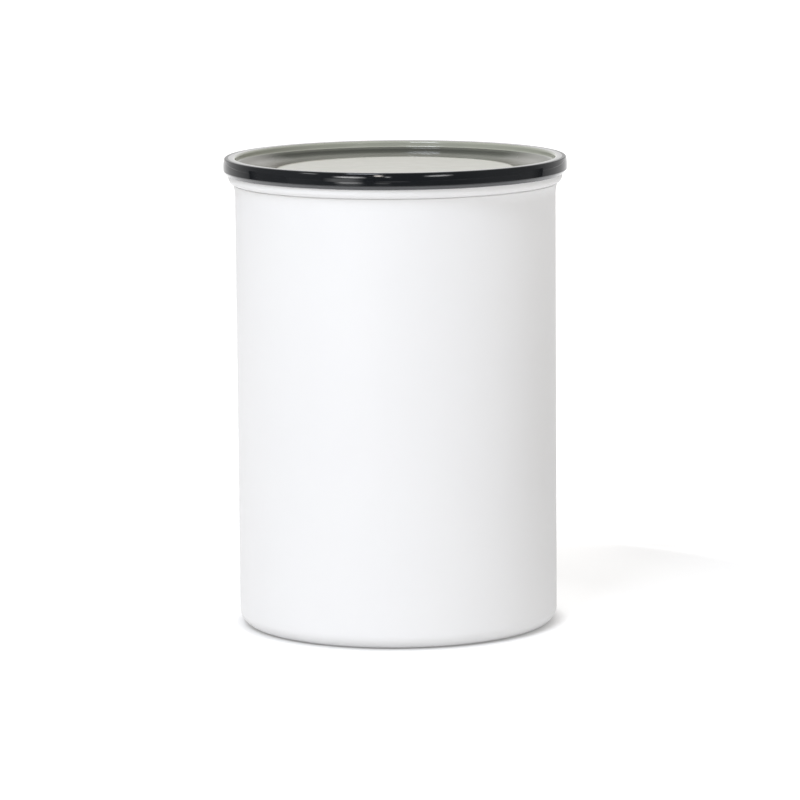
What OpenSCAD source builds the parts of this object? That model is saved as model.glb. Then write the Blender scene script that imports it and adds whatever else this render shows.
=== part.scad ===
// Coffee canister: a drawn steel shell, a press-on smoke lid and a sliding inner
// lid with a spring valve that its folding handle opens.
// Millimetres, +Z up, origin at the centre of the base on the table.
// The front is -Y. At rest the handle is folded down and the valve is shut.

/* [Canister shell] */
// Outside diameter of the straight body
body_d = 120; // [100:1:150]
// Height of the shell from the table to the top of its curled rim
shell_h = 173.4; // [140:0.1:240]
// Thickness of the steel sheet
steel_t = 0.8; // [0.6:0.1:1.1]
// Outside radius of the bottom corner
corner_r = 5.5; // [2.5:0.1:6]
// Height of the base panel above the table
base_recess = 2.4; // [2.2:0.1:4]
// Width of the flat ring that the shell stands on
foot_w = 3.3; // [2:0.1:8]
// Distance from the rim down to the crease under the neck
crease_drop = 6.8; // [6.2:0.1:9]
// Height of the gentle flare that ends at the crease
flare_h = 5.1; // [3:0.1:9]
// How far the flare leans out by the crease
flare_out = 0.75; // [0.3:0.05:1.2]
// Radius of the roll above the crease
neck_roll_r = 2.4; // [1.8:0.1:3]
// How far the neck stands out from the straight body
neck_step = 2.46; // [2:0.02:3]
// Radius of the curled bead on the rim
rim_bead_r = 0.6; // [0.5:0.05:0.8]

/* [Outer lid] */
// Thickness of the lid's floor and dish
lid_t = 2; // [1.4:0.1:3]
// Thickness of the lid above the gasket channel
lid_roof_t = 1.5; // [1.3:0.1:2.4]
// Thickness of the lid's skirt at its widest
skirt_t = 1.55; // [1.4:0.01:2.4]
// Height of the skirt from its lower edge to the top
skirt_h = 6.2; // [5.4:0.1:8]
// How far the skirt's face leans in between its middle and the top
skirt_lean = 0.3; // [0.1:0.05:0.5]
// Rounding radius of the rim's outer edge
rim_round_r = 0.6; // [0.4:0.1:0.9]
// Rounding radius of the rim's inner edge
rim_in_round_r = 0.9; // [0.5:0.1:1.2]
// Height of the tapered lip at the skirt's lower edge
lip_h = 1.2; // [0.6:0.1:2]
// How far the tapered lip draws in
lip_in = 1.15; // [0.4:0.05:1.3]
// Thickness of the leg that hangs inside the rim
leg_t = 1.2; // [0.9:0.1:1.6]
// How far the leg hangs below the rim
leg_drop = 4.9; // [3:0.1:5.5]
// Depth of the dish below the rim
dish_depth = 4.9; // [4.2:0.1:7]
// Radius of the flat floor of the dish
dish_floor_r = 44.6; // [30:0.1:46]
// Radius of the concave sweep between floor and rim
dish_sweep_r = 66; // [50:1:90]
// Slope of that sweep where it meets the floor, in degrees
dish_slope = 2; // [0:0.5:4]
// Height of the small step round the floor
dish_step = 0.3; // [0.1:0.05:0.6]
// Fillet radius at the foot of the dish wall
dish_fillet_r = 0.8; // [0.4:0.1:1]
// Gap between the lid and the shell's neck
lid_gap = 0.3; // [0.2:0.05:0.4]
// Thickness of the lid gasket
lid_gasket_t = 1.2; // [1:0.1:1.8]
// Height of the lid gasket above the rim
lid_seat_gap = 0.2; // [0.1:0.05:0.3]

/* [Inner lid] */
// Gap between the wiper's lips and the canister wall
wiper_gap = 0.3; // [0.25:0.05:0.5]
// How far each wiper lip reaches out from its band
lip_reach = 3.2; // [2.4:0.1:4.5]
// Thickness of the wiper's band
wiper_band_t = 1.6; // [1.2:0.1:2.2]
// Radius of the rounded end of a wiper lip
lip_tip_r = 0.35; // [0.25:0.05:0.45]
// Thickness of the clamped flange of the wiper
wiper_flange_t = 1.2; // [0.8:0.1:1.8]
// Thickness of the plate
plate_t = 2.4; // [2:0.1:3]
// Depth of the plate's skirt below the plate
plate_skirt_h = 8; // [7:0.1:11]
// Thickness of the plate's skirt
plate_skirt_t = 2.2; // [1.8:0.1:3]
// Height of the bead round the plate's edge
edge_bead_h = 2.2; // [1.4:0.1:3]
// Inside radius of the valve well
well_r = 17; // [16:0.1:18.5]
// Depth of the valve well below the plate's top
well_depth = 5; // [4.5:0.1:6]
// Thickness of the well's wall
well_wall_t = 2; // [1.6:0.1:2.4]
// Number of ribs under the plate
rib_count = 18; // [12:6:24]
// Thickness of a rib
rib_t = 1.6; // [1.2:0.1:2.2]
// Radius of the ring rib half way out
ring_rib_r = 35; // [30:0.5:38]
// Thickness of the ring that clamps the wiper
retainer_t = 1.8; // [1.6:0.1:2.6]
// Width of that ring
retainer_w = 11.7; // [10.5:0.1:14]
// Number of screws that hold that ring
retainer_screw_count = 6; // [3:1:6]
// Clearance round a pin, screw or ring in its hole
fit_gap = 0.05; // [0.02:0.01:0.08]

/* [Valve] */
// Radius of the air hole through the seat
air_hole_r = 6.5; // [5.6:0.1:7]
// Wall of the seat in the plate's hole
seat_wall_t = 1.45; // [1.2:0.05:1.8]
// Thickness of the seat's flange
seat_flange_t = 1.2; // [0.8:0.1:1.6]
// Gap between the seal and its seat when shut
seal_gap = 0.1; // [0.05:0.05:0.2]
// Thickness of the seal
seal_t = 1.2; // [0.8:0.1:1.6]
// Thickness of the plug's disc
plug_t = 1.8; // [1.4:0.1:2.2]
// How far the valve lifts
lift = 2.5; // [1.5:0.1:2.8]
// Radius of the plug's stem
stem_r = 2; // [1.8:0.1:2.4]
// Radius of the stem's threaded end
thread_r = 1.45; // [1.2:0.05:1.5]
// Diameter of the spring wire
wire_d = 0.9; // [0.6:0.1:1]
// Mean radius of the spring
spring_r = 5.5; // [5.2:0.1:6.5]
// Number of curls of the spring
spring_turns = 4; // [3:1:4]
// Inside height of the valve cover above the plate
cover_in_h = 7.5; // [7.2:0.1:9]
// Thickness of the cover's top
cover_t = 1.5; // [1.2:0.1:2]
// Wall thickness of the cover
cover_wall_t = 1.6; // [1.2:0.1:2]
// Outside radius of the cover
cover_r = 15.6; // [14.8:0.1:16]
// Rounding radius of the cover's shoulder
cover_round_r = 3; // [2:0.1:4]
// Radius of the cover's flange
cover_flange_r = 24.4; // [23.6:0.1:25]
// Thickness of the cover's flange
cover_flange_t = 1.8; // [1.4:0.1:2.2]
// Number of air windows round the cover
window_count = 8; // [6:1:10]
// Width of an air window
window_w = 5; // [3:0.1:6]
// Height of an air window
window_h = 3; // [2:0.1:3.4]
// Running clearance of the stem in its guide
stem_gap = 0.08; // [0.04:0.01:0.1]
// Radius of a hole in the grounds screen
screen_hole_r = 0.8; // [0.5:0.05:1]
// Distance between the holes in the grounds screen
screen_pitch = 2.5; // [2.4:0.05:2.7]
// Thickness of the grounds screen
screen_t = 0.6; // [0.4:0.1:0.8]

/* [Handle] */
// Distance from the middle to the centre of each handle leg
handle_r = 35.2; // [34.5:0.1:37]
// Length of the straight start of each leg
leg_straight = 3; // [1:0.5:6]
// Width of the handle's bar
handle_w = 4.4; // [4:0.1:5]
// Height of the handle's bar when folded
handle_t = 6; // [5:0.1:6.4]
// Width of the grip in the middle of the handle
grip_w = 9; // [6:0.1:10]
// Height of the grip when folded
grip_t = 5; // [4:0.1:6]
// Angle that the grip spans
grip_angle = 76; // [50:1:100]
// Radius of the cams at their low point
cam_r = 4; // [3.8:0.1:4.2]
// Width of a cam
cam_w = 4; // [3:0.1:4.4]
// Gap between a cam and the lifter bar when shut
cam_gap = 0.15; // [0.1:0.05:0.25]
// Radius of the pivot pins
pin_r = 1.5; // [1.2:0.05:1.8]
// Running clearance of the handle on its pins
pin_run_gap = 0.06; // [0.03:0.01:0.1]
// Thickness of an ear
ear_t = 3; // [2.4:0.1:3.4]
// Side gap beside each moving hub
side_gap = 0.4; // [0.3:0.05:0.6]
// Thickness of the lifter bar
bar_t = 2.4; // [2:0.1:3]
// Width of the lifter bar's arms
bar_w = 7; // [6.5:0.1:8]
// Gap between the cover and the lifter bar
bar_gap = 0.5; // [0.4:0.05:0.8]
// Free height left under the closed lid when the handle stands up
headroom = 5; // [3:0.5:60]

/* [Hidden] */
$fn = 96;
far = 400;
eps = 0.01;
// How far a cut runs past the face that it leaves
over = 1;

// Radii and heights of the shell
body_r = body_d / 2;
inner_r = body_r - steel_t;
bend_r = base_recess / 2;
panel_r = body_r - corner_r - foot_w - bend_r;
crease_z = shell_h - crease_drop;
flare_z = crease_z - flare_h;
flare_r = (flare_h * flare_h + flare_out * flare_out) / (2 * flare_out);
neck_r = body_r + neck_step;
roll_c = neck_r - neck_roll_r;
roll_rise = sqrt(pow(neck_roll_r, 2) - pow(body_r + flare_out - roll_c, 2));
roll_z = crease_z + roll_rise;
bead_c = neck_r - rim_bead_r;

// Radii and heights of the outer lid
lid_under_z = shell_h + lid_seat_gap + lid_gasket_t;
lid_top_z = lid_under_z + lid_roof_t;
channel_out_r = neck_r + lid_gap;
channel_in_r = neck_r - 2 * rim_bead_r - lid_gap;
lid_r = channel_out_r + skirt_t;
dish_wall_r = channel_in_r - leg_t;
rim_c = lid_r - skirt_lean - rim_round_r;
rim_in_c = dish_wall_r + rim_in_round_r;
dish_z = lid_top_z - dish_depth;
sweep_r0 = dish_floor_r - dish_sweep_r * sin(dish_slope);
sweep_z0 = dish_z + dish_step + dish_sweep_r * cos(dish_slope);
fillet_c = dish_wall_r - dish_fillet_r;
fillet_z = sweep_z0 - sqrt(pow(dish_sweep_r - dish_fillet_r, 2) - pow(fillet_c - sweep_r0, 2));
skirt_z = lid_top_z - skirt_h;
lip_ledge = 0.25;
lip_rise = 0.6;
skirt_mid_z = (skirt_z + lid_top_z) / 2;
leg_z = shell_h - leg_drop;
leg_step = 0.4;
gasket_lap = 0.15;

// Radii and heights of the inner lid, measured from the plate's top
wiper_r = inner_r - wiper_gap;
wiper_band_r = wiper_r - lip_reach;
plate_skirt_r = wiper_band_r - wiper_band_t - fit_gap;
edge_step = 0.2;
edge_r = wiper_band_r - edge_step;
edge_bead_r = 1;
plate_skirt_z = -plate_t - plate_skirt_h;
flange_z = plate_skirt_z - wiper_flange_t;
retainer_z = flange_z - retainer_t;
retainer_step = 0.5;
retainer_r = wiper_band_r - retainer_step;
retainer_in_r = retainer_r - retainer_w;
retainer_key_gap = 1;
screw_r = 1.3;
screw_head_r = 2.8;
screw_head_h = 1.4;
screw_tip_gap = 0.5;
boss_r = 3.4;
boss_lap = 0.4;
plate_skirt_in_r = plate_skirt_r - plate_skirt_t;
retainer_pcd_r = plate_skirt_in_r - boss_r + boss_lap;
screw_cap_t = 2;
screw_top_z = -plate_t - screw_cap_t;
screw_hole_z = screw_top_z + screw_tip_gap;
rib_h = 5;
rib_root = 0.5;

// Wiper lips: rise of a lip, thickness at its root, places of the roots and angles at the tip
lip_rise_h = 1.9;
lip_root_t = 1.6;
lip_top_root = 1.2;
lip_low_root = 0.6;
lip_outer_angle = 53;
lip_inner_angle = 60;
wiper_flange_in = 0.8;

// Radii and heights of the valve
well_floor_z = -well_depth;
well_under_z = well_floor_z - plate_t;
well_out_r = well_r + well_wall_t;
seat_hole_r = air_hole_r + seat_wall_t + fit_gap;
seat_top_z = well_floor_z + seat_flange_t;
seat_flange_w = 2.8;
seat_flange_r = seat_hole_r + seat_flange_w;
seat_bead_h = 1;
seat_bead_out = 0.8;
seal_z = seat_top_z + seal_gap;
seal_inset = 1.2;
seal_r = seat_flange_r - seal_inset;
seal_hole_r = 4.2;
plug_button_r = 5.2;
plug_button_t = 1.2;
plug_edge_r = 0.5;
plug_hub_h = 1;
plug_hub_gap = 0.5;
plug_hub_r = spring_r - wire_d / 2 - plug_hub_gap;
plug_z = seal_z + seal_t;
spring_z = plug_z + plug_t;
cover_top_z = cover_in_h + cover_t;
guide_h = 3;
guide_wall_t = 1.8;
guide_z = cover_in_h - guide_h;
bar_z = cover_top_z + bar_gap;
thread_over = 2.2;
screen_rim_w = 2.1;
screen_r = seat_hole_r + screen_rim_w;
screen_drop = 1.4;
screen_ledge_z = well_under_z - screen_drop;
screen_ledge_w = 0.9;
screen_wall_t = 2;
screen_z = screen_ledge_z - screen_t;
screen_ring_count = 3;
clip_t = 0.8;
clip_w = 1.1;
clip_slot_w = 3;
clip_cover = 0.2;
cover_edge_r = 0.6;
cover_screw_r = 1.2;
cover_screw_shift = 1.4;
cover_pcd_r = (cover_r + cover_flange_r) / 2 + cover_screw_shift;
cover_screw_count = 4;
cover_screw_start = 45;
cover_boss_r = 3;
cover_hole_z = well_under_z + 1.4;
cover_screw_z = well_under_z + 2;
cover_head_r = 2.3;
cover_head_h = 0.8;
cover_head_top_r = 1.5;
cover_head_round_h = 0.6;
window_sill = 0.2;

// Places along the pivot axis, measured from the middle
hub_in_x = handle_r - handle_w / 2;
hub_out_x = handle_r + handle_w / 2;
cam_x = hub_in_x - cam_w;
ear_in_x = cam_x - side_gap - ear_t;
ear_out_x = hub_out_x + side_gap;
pivot_z = bar_z - cam_gap - cam_r;
hub_r = 4.2;
pin_head_r = 2.6;
pin_head_t = 1.3;
pin_tail = 1.4;
pin_end_x = ear_in_x - pin_tail;
pin_clip_r = 2.8;
pin_clip_t = 0.8;
pin_clip_gap = 0.2;
pin_clip_slot = 1.6;
clip_x = ear_in_x - pin_clip_gap - pin_clip_t;
ear_foot = 2.4;
ear_in_wall = 1.7;
ear_out_wall = 2.5;
handle_reach = leg_straight + handle_r + grip_w / 2;
// The raised legs curve in, so the bar's arms end where its top edge passes them
bar_top_reach = cam_gap + cam_r + lift + bar_t;
arm_end = sqrt(pow(hub_in_x, 2) - pow(max(bar_top_reach - leg_straight, 0), 2)) - side_gap;

// Lifter bar, its nut and the handle's roundings
bar_boss_r = 5.4;
bar_corner_r = 1.5;
bar_rib_x = 5;
bar_rib_w = 1.8;
bar_rib_h = 0.8;
bar_rib_gap = 4;
nut_r = 3.1;
nut_h = 1.8;
nut_dome_r = 2.4;
nut_dome_h = 1;
nut_ball_r = 2.6;
handle_round_r = 1.6;
grip_round_r = 2;

// Height of the plate's top at rest, set so that the raised handle clears the lid
plate_z = dish_z - lid_t - headroom - handle_reach - pivot_z;

// Flat ring from radius a to radius b between two heights
module ring(a, b, low, high) {
    translate([0, 0, low])
        difference() {
            cylinder(r = b, h = high - low);
            translate([0, 0, -eps])
                cylinder(r = a, h = high - low + 2 * eps);
        }
}

// Rectangle in the profile plane
module box2(r0, r1, z0, z1) {
    translate([r0, z0])
        square([r1 - r0, z1 - z0]);
}

// Circle in the profile plane
module disc2(r0, z0, radius) {
    translate([r0, z0])
        circle(r = radius);
}

// Copies of a child round the middle
module around(count, radius, start = 0) {
    for (i = [0 : count - 1])
        rotate([0, 0, start + i * 360 / count])
            translate([radius, 0, 0])
                children();
}

// Everything on the inner lid is drawn from the plate's top
module at_plate() {
    translate([0, 0, plate_z])
        children();
}

// A shape drawn for one side of the handle, and its mirror image
module both_sides() {
    children();
    mirror([1, 0, 0])
        children();
}

// Cylinder along X from x0 to x1 on the pivot axis
module pivot_bar(x0, x1, radius) {
    translate([x0, 0, pivot_z])
        rotate([0, 90, 0])
            cylinder(r = radius, h = x1 - x0);
}

// Space under the pressed base, grown by the sheet for the inside face
module base_panel_2d(grow) {
    box2(0, panel_r - bend_r, -far * (grow > 0 ? 0 : 1), base_recess + grow);
    box2(0, panel_r + grow, -far * (grow > 0 ? 0 : 1), bend_r);
    disc2(panel_r - bend_r, bend_r, bend_r + grow);
    difference() {
        box2(panel_r, panel_r + bend_r, grow, bend_r);
        disc2(panel_r + bend_r, bend_r, bend_r - grow);
    }
}

// Region inside the shell's skin up to a top height, drawn in by t for the inside face
module shell_region_2d(t, top) {
    box2(0, body_r - corner_r, t, flare_z);
    box2(0, body_r - t, corner_r, flare_z);
    disc2(body_r - corner_r, corner_r, corner_r - t);
    difference() {
        box2(0, neck_r, flare_z, roll_z + eps);
        disc2(body_r + flare_r, flare_z, flare_r + t);
    }
    disc2(roll_c, roll_z, neck_roll_r - t);
    box2(0, neck_r - t, roll_z, top);
}

module canister_shell() {
    color("whitesmoke")
        rotate_extrude()
            union() {
                difference() {
                    shell_region_2d(0, shell_h - rim_bead_r);
                    difference() {
                        shell_region_2d(steel_t, shell_h + 1);
                        base_panel_2d(steel_t);
                    }
                    base_panel_2d(0);
                }
                disc2(bead_c, shell_h - rim_bead_r, rim_bead_r);
            }
}

// Solid outline of the lid before it is hollowed
module lid_outside_2d() {
    box2(0, rim_c, leg_z, lid_top_z);
    disc2(rim_c, lid_top_z - rim_round_r, rim_round_r);
    polygon([
        [channel_in_r, skirt_z],
        [lid_r - lip_in, skirt_z],
        [lid_r - lip_ledge, skirt_z + lip_h],
        [lid_r, skirt_z + lip_h + lip_rise],
        [lid_r, skirt_mid_z],
        [lid_r - skirt_lean, lid_top_z - rim_round_r],
        [channel_in_r, lid_top_z - rim_round_r]
    ]);
}

// Space of the dish in the lid's top
module lid_dish_2d() {
    box2(0, dish_floor_r, dish_z, far);
    difference() {
        intersection() {
            disc2(sweep_r0, sweep_z0, dish_sweep_r);
            box2(dish_floor_r - eps, dish_wall_r, dish_z, lid_top_z + 1);
        }
        difference() {
            polygon([
                [fillet_c, fillet_z],
                [sweep_r0 + (fillet_c - sweep_r0) * 1.05, sweep_z0 + (fillet_z - sweep_z0) * 1.05],
                [dish_wall_r + 1, fillet_z - 3],
                [dish_wall_r + 1, fillet_z]
            ]);
            disc2(fillet_c, fillet_z, dish_fillet_r);
        }
    }
    difference() {
        box2(dish_wall_r - eps, rim_in_c, lid_top_z - rim_in_round_r, lid_top_z + 1);
        disc2(rim_in_c, lid_top_z - rim_in_round_r, rim_in_round_r);
    }
}

// Space under the lid's dish, inside its leg
module lid_under_2d() {
    box2(0, dish_floor_r, 0, dish_z - lid_t);
    difference() {
        box2(dish_floor_r - eps, dish_wall_r - leg_step, 0, lid_top_z);
        disc2(sweep_r0, sweep_z0, dish_sweep_r + lid_t);
    }
}

module outer_lid() {
    color([0.16, 0.17, 0.19, 0.6])
        rotate_extrude()
            difference() {
                lid_outside_2d();
                lid_dish_2d();
                lid_under_2d();
                box2(channel_in_r, channel_out_r, 0, lid_under_z);
            }
}

module lid_gasket() {
    color("lightgray")
        rotate_extrude()
            difference() {
                box2(channel_in_r + fit_gap, channel_out_r - fit_gap, shell_h - gasket_lap, lid_under_z);
                disc2(bead_c, shell_h - rim_bead_r, rim_bead_r + lid_seat_gap);
            }
}

// Round profile of the plate: plate, well, skirt and edge bead
module plate_2d() {
    box2(well_r, plate_skirt_r, -plate_t, 0);
    box2(plate_skirt_r - eps, edge_r, -plate_t, 0);
    box2(edge_r - 2 * edge_bead_r, edge_r, -plate_t, edge_bead_h - edge_bead_r);
    disc2(edge_r - edge_bead_r, edge_bead_h - edge_bead_r, edge_bead_r);
    box2(plate_skirt_in_r, plate_skirt_r, plate_skirt_z, -plate_t + eps);
    box2(well_r, well_out_r, well_under_z, 0);
    box2(seat_hole_r, well_out_r, well_under_z, well_floor_z);
    box2(screen_r - screen_ledge_w, screen_r + screen_wall_t, screen_ledge_z, well_under_z + eps);
    box2(screen_r + fit_gap, screen_r + screen_wall_t, screen_z - clip_t - clip_cover, screen_ledge_z + eps);
    box2(ring_rib_r - rib_t / 2, ring_rib_r + rib_t / 2, -plate_t - rib_h, -plate_t + eps);
}

// Ear on the plate, with a round top about the pin
module ear(x0, radius) {
    translate([x0, 0, 0])
        rotate([90, 0, 90])
            linear_extrude(ear_t) {
                translate([0, pivot_z])
                    circle(r = radius);
                translate([-radius, -eps])
                    square([2 * radius, pivot_z + eps]);
                polygon([
                    [-radius - ear_foot, -eps],
                    [radius + ear_foot, -eps],
                    [radius, ear_foot],
                    [-radius, ear_foot]
                ]);
            }
}

module plunger_plate() {
    color("dimgray")
        at_plate()
            difference() {
                union() {
                    rotate_extrude()
                        plate_2d();
                    around(rib_count, 0)
                        translate([well_out_r - rib_root, -rib_t / 2, -plate_t - rib_h])
                            cube([plate_skirt_in_r - well_out_r + 2 * rib_root, rib_t, rib_h + eps]);
                    around(retainer_screw_count, retainer_pcd_r)
                        translate([0, 0, plate_skirt_z])
                            cylinder(r = boss_r, h = plate_skirt_h + eps);
                    around(cover_screw_count, cover_pcd_r, cover_screw_start)
                        translate([0, 0, well_under_z])
                            cylinder(r = cover_boss_r, h = well_depth + eps);
                    both_sides() {
                        ear(ear_in_x, pin_r + ear_in_wall);
                        ear(ear_out_x, pin_r + ear_out_wall);
                    }
                }
                around(retainer_screw_count, retainer_pcd_r)
                    translate([0, 0, plate_skirt_z - over])
                        cylinder(r = screw_r + fit_gap, h = screw_hole_z - plate_skirt_z + over);
                around(cover_screw_count, cover_pcd_r, cover_screw_start)
                    translate([0, 0, cover_hole_z])
                        cylinder(r = cover_screw_r + fit_gap, h = -well_under_z);
                both_sides()
                    pivot_bar(ear_in_x - over, ear_out_x + ear_t + over, pin_r + fit_gap);
            }
}

// One wiper lip: a tapered blade with a round end, pointing up or down
module wiper_lip_2d(root_z, way) {
    tip_c = wiper_r - lip_tip_r;
    tip_z = root_z + way * lip_rise_h;
    reach = lip_tip_r - eps;
    outer = [tip_c + reach * cos(lip_outer_angle), tip_z - way * reach * sin(lip_outer_angle)];
    inner = [tip_c - reach * cos(lip_inner_angle), tip_z + way * reach * sin(lip_inner_angle)];
    disc2(tip_c, tip_z, lip_tip_r);
    polygon([
        [wiper_band_r - eps, root_z - lip_root_t / 2],
        way > 0 ? outer : inner,
        way > 0 ? inner : outer,
        [wiper_band_r - eps, root_z + lip_root_t / 2]
    ]);
}

module plunger_wiper() {
    color("silver")
        at_plate()
            rotate_extrude() {
                box2(wiper_band_r - wiper_band_t, wiper_band_r, flange_z, -plate_t);
                box2(plate_skirt_in_r - wiper_flange_in, wiper_band_r, flange_z, plate_skirt_z);
                wiper_lip_2d(-plate_t - lip_top_root, 1);
                wiper_lip_2d(plate_skirt_z + lip_low_root, -1);
            }
}

module wiper_retainer() {
    edge = retainer_t / 2;
    color("dimgray")
        at_plate()
            difference() {
                rotate_extrude() {
                    box2(retainer_in_r + edge, retainer_r - edge, retainer_z, flange_z);
                    box2(retainer_in_r, retainer_r, retainer_z + edge, flange_z);
                    disc2(retainer_in_r + edge, retainer_z + edge, edge);
                    disc2(retainer_r - edge, retainer_z + edge, edge);
                    box2(retainer_in_r, plate_skirt_in_r - retainer_key_gap, flange_z - eps, plate_skirt_z);
                }
                around(retainer_screw_count, retainer_pcd_r) {
                    translate([0, 0, retainer_z - over])
                        cylinder(r = screw_r + fit_gap, h = far);
                    translate([0, 0, retainer_z - eps])
                        cylinder(r1 = screw_head_r + fit_gap, r2 = screw_r + fit_gap, h = screw_head_h);
                }
            }
}

// Countersunk screw with its head flush in the clamping ring
module retainer_screws() {
    color("gainsboro")
        at_plate()
            around(retainer_screw_count, retainer_pcd_r) {
                translate([0, 0, retainer_z])
                    cylinder(r1 = screw_head_r, r2 = screw_r, h = screw_head_h);
                translate([0, 0, retainer_z])
                    cylinder(r = screw_r, h = screw_top_z - retainer_z);
            }
}

module valve_seat() {
    color("whitesmoke")
        at_plate()
            rotate_extrude() {
                box2(air_hole_r, seat_hole_r - fit_gap, well_under_z - seat_bead_h, seat_top_z);
                box2(air_hole_r, seat_flange_r, well_floor_z, seat_top_z);
                polygon([
                    [air_hole_r, well_under_z - seat_bead_h],
                    [seat_hole_r, well_under_z - seat_bead_h],
                    [seat_hole_r + seat_bead_out, well_under_z],
                    [air_hole_r, well_under_z]
                ]);
            }
}

module screen_hole() {
    translate([0, 0, -over])
        cylinder(r = screen_hole_r, h = screen_t + 2 * over, $fn = 24);
}

// Holes of the screen in rings of six sides
module grounds_screen() {
    color("silver")
        at_plate()
            translate([0, 0, screen_z])
                difference() {
                    cylinder(r = screen_r, h = screen_t);
                    screen_hole();
                    for (k = [1 : screen_ring_count])
                        for (side = [0 : 5])
                            for (step = [0 : k - 1])
                                rotate([0, 0, side * 60])
                                    translate(screen_pitch * [k - step / 2, step * sin(60), 0])
                                        screen_hole();
                }
}

module screen_clip() {
    color("silver")
        at_plate()
            difference() {
                ring(screen_r - clip_w, screen_r, screen_z - clip_t, screen_z);
                translate([0, -clip_slot_w / 2, screen_z - clip_t - over])
                    cube([far, clip_slot_w, clip_t + 2 * over]);
            }
}

// Half section of the cover: top, rounded shoulder, wall and flange
module cover_2d() {
    shoulder_c = cover_r - cover_round_r;
    inside_z = cover_in_h - cover_round_r + cover_wall_t;
    difference() {
        union() {
            disc2(shoulder_c, cover_top_z - cover_round_r, cover_round_r);
            box2(cover_r - cover_wall_t, cover_r, 0, cover_top_z - cover_round_r);
            box2(0, shoulder_c, cover_in_h, cover_top_z);
        }
        difference() {
            box2(-far, cover_r - cover_wall_t, -far, cover_in_h);
            difference() {
                box2(shoulder_c, far, inside_z, far);
                disc2(shoulder_c, inside_z, cover_round_r - cover_wall_t);
            }
        }
    }
    box2(cover_r - cover_wall_t, cover_flange_r - cover_edge_r, 0, cover_flange_t);
    box2(cover_r, cover_flange_r, 0, cover_flange_t - cover_edge_r);
    disc2(cover_flange_r - cover_edge_r, cover_flange_t - cover_edge_r, cover_edge_r);
}

module valve_cover() {
    color("gray")
        at_plate()
            difference() {
                union() {
                    rotate_extrude()
                        cover_2d();
                    translate([0, 0, guide_z])
                        cylinder(r = stem_r + guide_wall_t, h = guide_h + eps);
                }
                translate([0, 0, guide_z - over])
                    cylinder(r = stem_r + stem_gap, h = far);
                around(cover_screw_count, cover_pcd_r, cover_screw_start)
                    translate([0, 0, -over])
                        cylinder(r = cover_screw_r + fit_gap, h = cover_flange_t + 2 * over);
                around(window_count, cover_r - cover_wall_t - over, 180 / window_count)
                    translate([0, -window_w / 2, cover_flange_t + window_sill])
                        cube([cover_wall_t + 2 * over, window_w, window_h]);
            }
}

module cover_screws() {
    color("gainsboro")
        at_plate()
            around(cover_screw_count, cover_pcd_r, cover_screw_start) {
                translate([0, 0, cover_screw_z])
                    cylinder(r = cover_screw_r, h = cover_flange_t - cover_screw_z);
                translate([0, 0, cover_flange_t])
                    cylinder(r = cover_head_r, h = cover_head_h);
                translate([0, 0, cover_flange_t + cover_head_h])
                    cylinder(r1 = cover_head_r, r2 = cover_head_top_r, h = cover_head_round_h);
            }
}

// The spring: one unbroken tube of six-sided rings, eight to a curl
spring_rings = 8;
spring_sides = 6;
coil_end_gap = 0.05;
coil_low_z = spring_z + wire_d / 2 + coil_end_gap;
coil_high_z = cover_in_h - wire_d / 2 - coil_end_gap;
coil_steps = spring_turns * spring_rings;
function coil_point(i) =
    let (a = 360 * i / spring_rings)
    [spring_r * cos(a), spring_r * sin(a), coil_low_z + (coil_high_z - coil_low_z) * i / coil_steps];
function coil_way(i) =
    let (a = 360 * i / spring_rings, rise = (coil_high_z - coil_low_z) / (2 * PI * spring_turns))
    [-spring_r * sin(a), spring_r * cos(a), rise] / norm([spring_r, rise]);
function spring_path() = concat(
    [coil_point(0) - wire_d * coil_flat(0)],
    [for (i = [0 : coil_steps]) coil_point(i)],
    [coil_point(coil_steps) + wire_d * coil_flat(coil_steps)]
);
function coil_flat(i) =
    let (way = coil_way(i))
    [way[0], way[1], 0] / norm([way[0], way[1], 0]);
function ring_index(j) = min(max(j - 1, 0), coil_steps);
function ring_points(j) =
    let (
        i = ring_index(j),
        a = 360 * i / spring_rings,
        way = coil_flat(i),
        side = [cos(a), sin(a), 0],
        up = cross(side, way)
    )
    [for (s = [0 : spring_sides - 1])
        let (turn = 360 * s / spring_sides)
        spring_path()[j] + wire_d / 2 * (side * cos(turn) + up * sin(turn))];
spring_last = coil_steps + 2;
// Least gap between one curl and the next, on the path's own points
spring_self_gap = min([for (i = [0 : coil_steps - spring_rings])
    norm(coil_point(i + spring_rings) - coil_point(i))]) - wire_d;
echo(spring_self_gap = spring_self_gap);

module valve_spring() {
    points = [for (j = [0 : spring_last]) each ring_points(j)];
    sides = [for (j = [0 : spring_last - 1]) for (s = [0 : spring_sides - 1])
        let (
            a = j * spring_sides + s,
            b = j * spring_sides + (s + 1) % spring_sides,
            c = b + spring_sides,
            d = a + spring_sides
        )
        each [[a, b, c], [a, c, d]]];
    start = [for (s = [1 : spring_sides - 2]) [0, s + 1, s]];
    top = spring_last * spring_sides;
    end = [for (s = [1 : spring_sides - 2]) [top, top + s, top + s + 1]];
    color("lightsteelblue")
        at_plate()
            polyhedron(points = points, faces = concat(sides, start, end));
}

module valve_plug() {
    color("gray")
        at_plate()
            rotate_extrude() {
                box2(0, plug_button_r, seal_z - plug_button_t, seal_z);
                box2(0, seal_hole_r, seal_z - plug_button_t, spring_z);
                box2(0, seal_r, plug_z, spring_z - plug_edge_r);
                box2(0, seal_r - plug_edge_r, plug_z, spring_z);
                disc2(seal_r - plug_edge_r, spring_z - plug_edge_r, plug_edge_r);
                box2(0, plug_hub_r, spring_z - eps, spring_z + plug_hub_h);
                box2(0, stem_r, spring_z, bar_z);
                box2(0, thread_r, bar_z - eps, bar_z + bar_t + thread_over);
            }
}

module valve_seal() {
    color("whitesmoke")
        at_plate()
            ring(seal_hole_r + fit_gap, seal_r, seal_z, plug_z);
}

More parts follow.
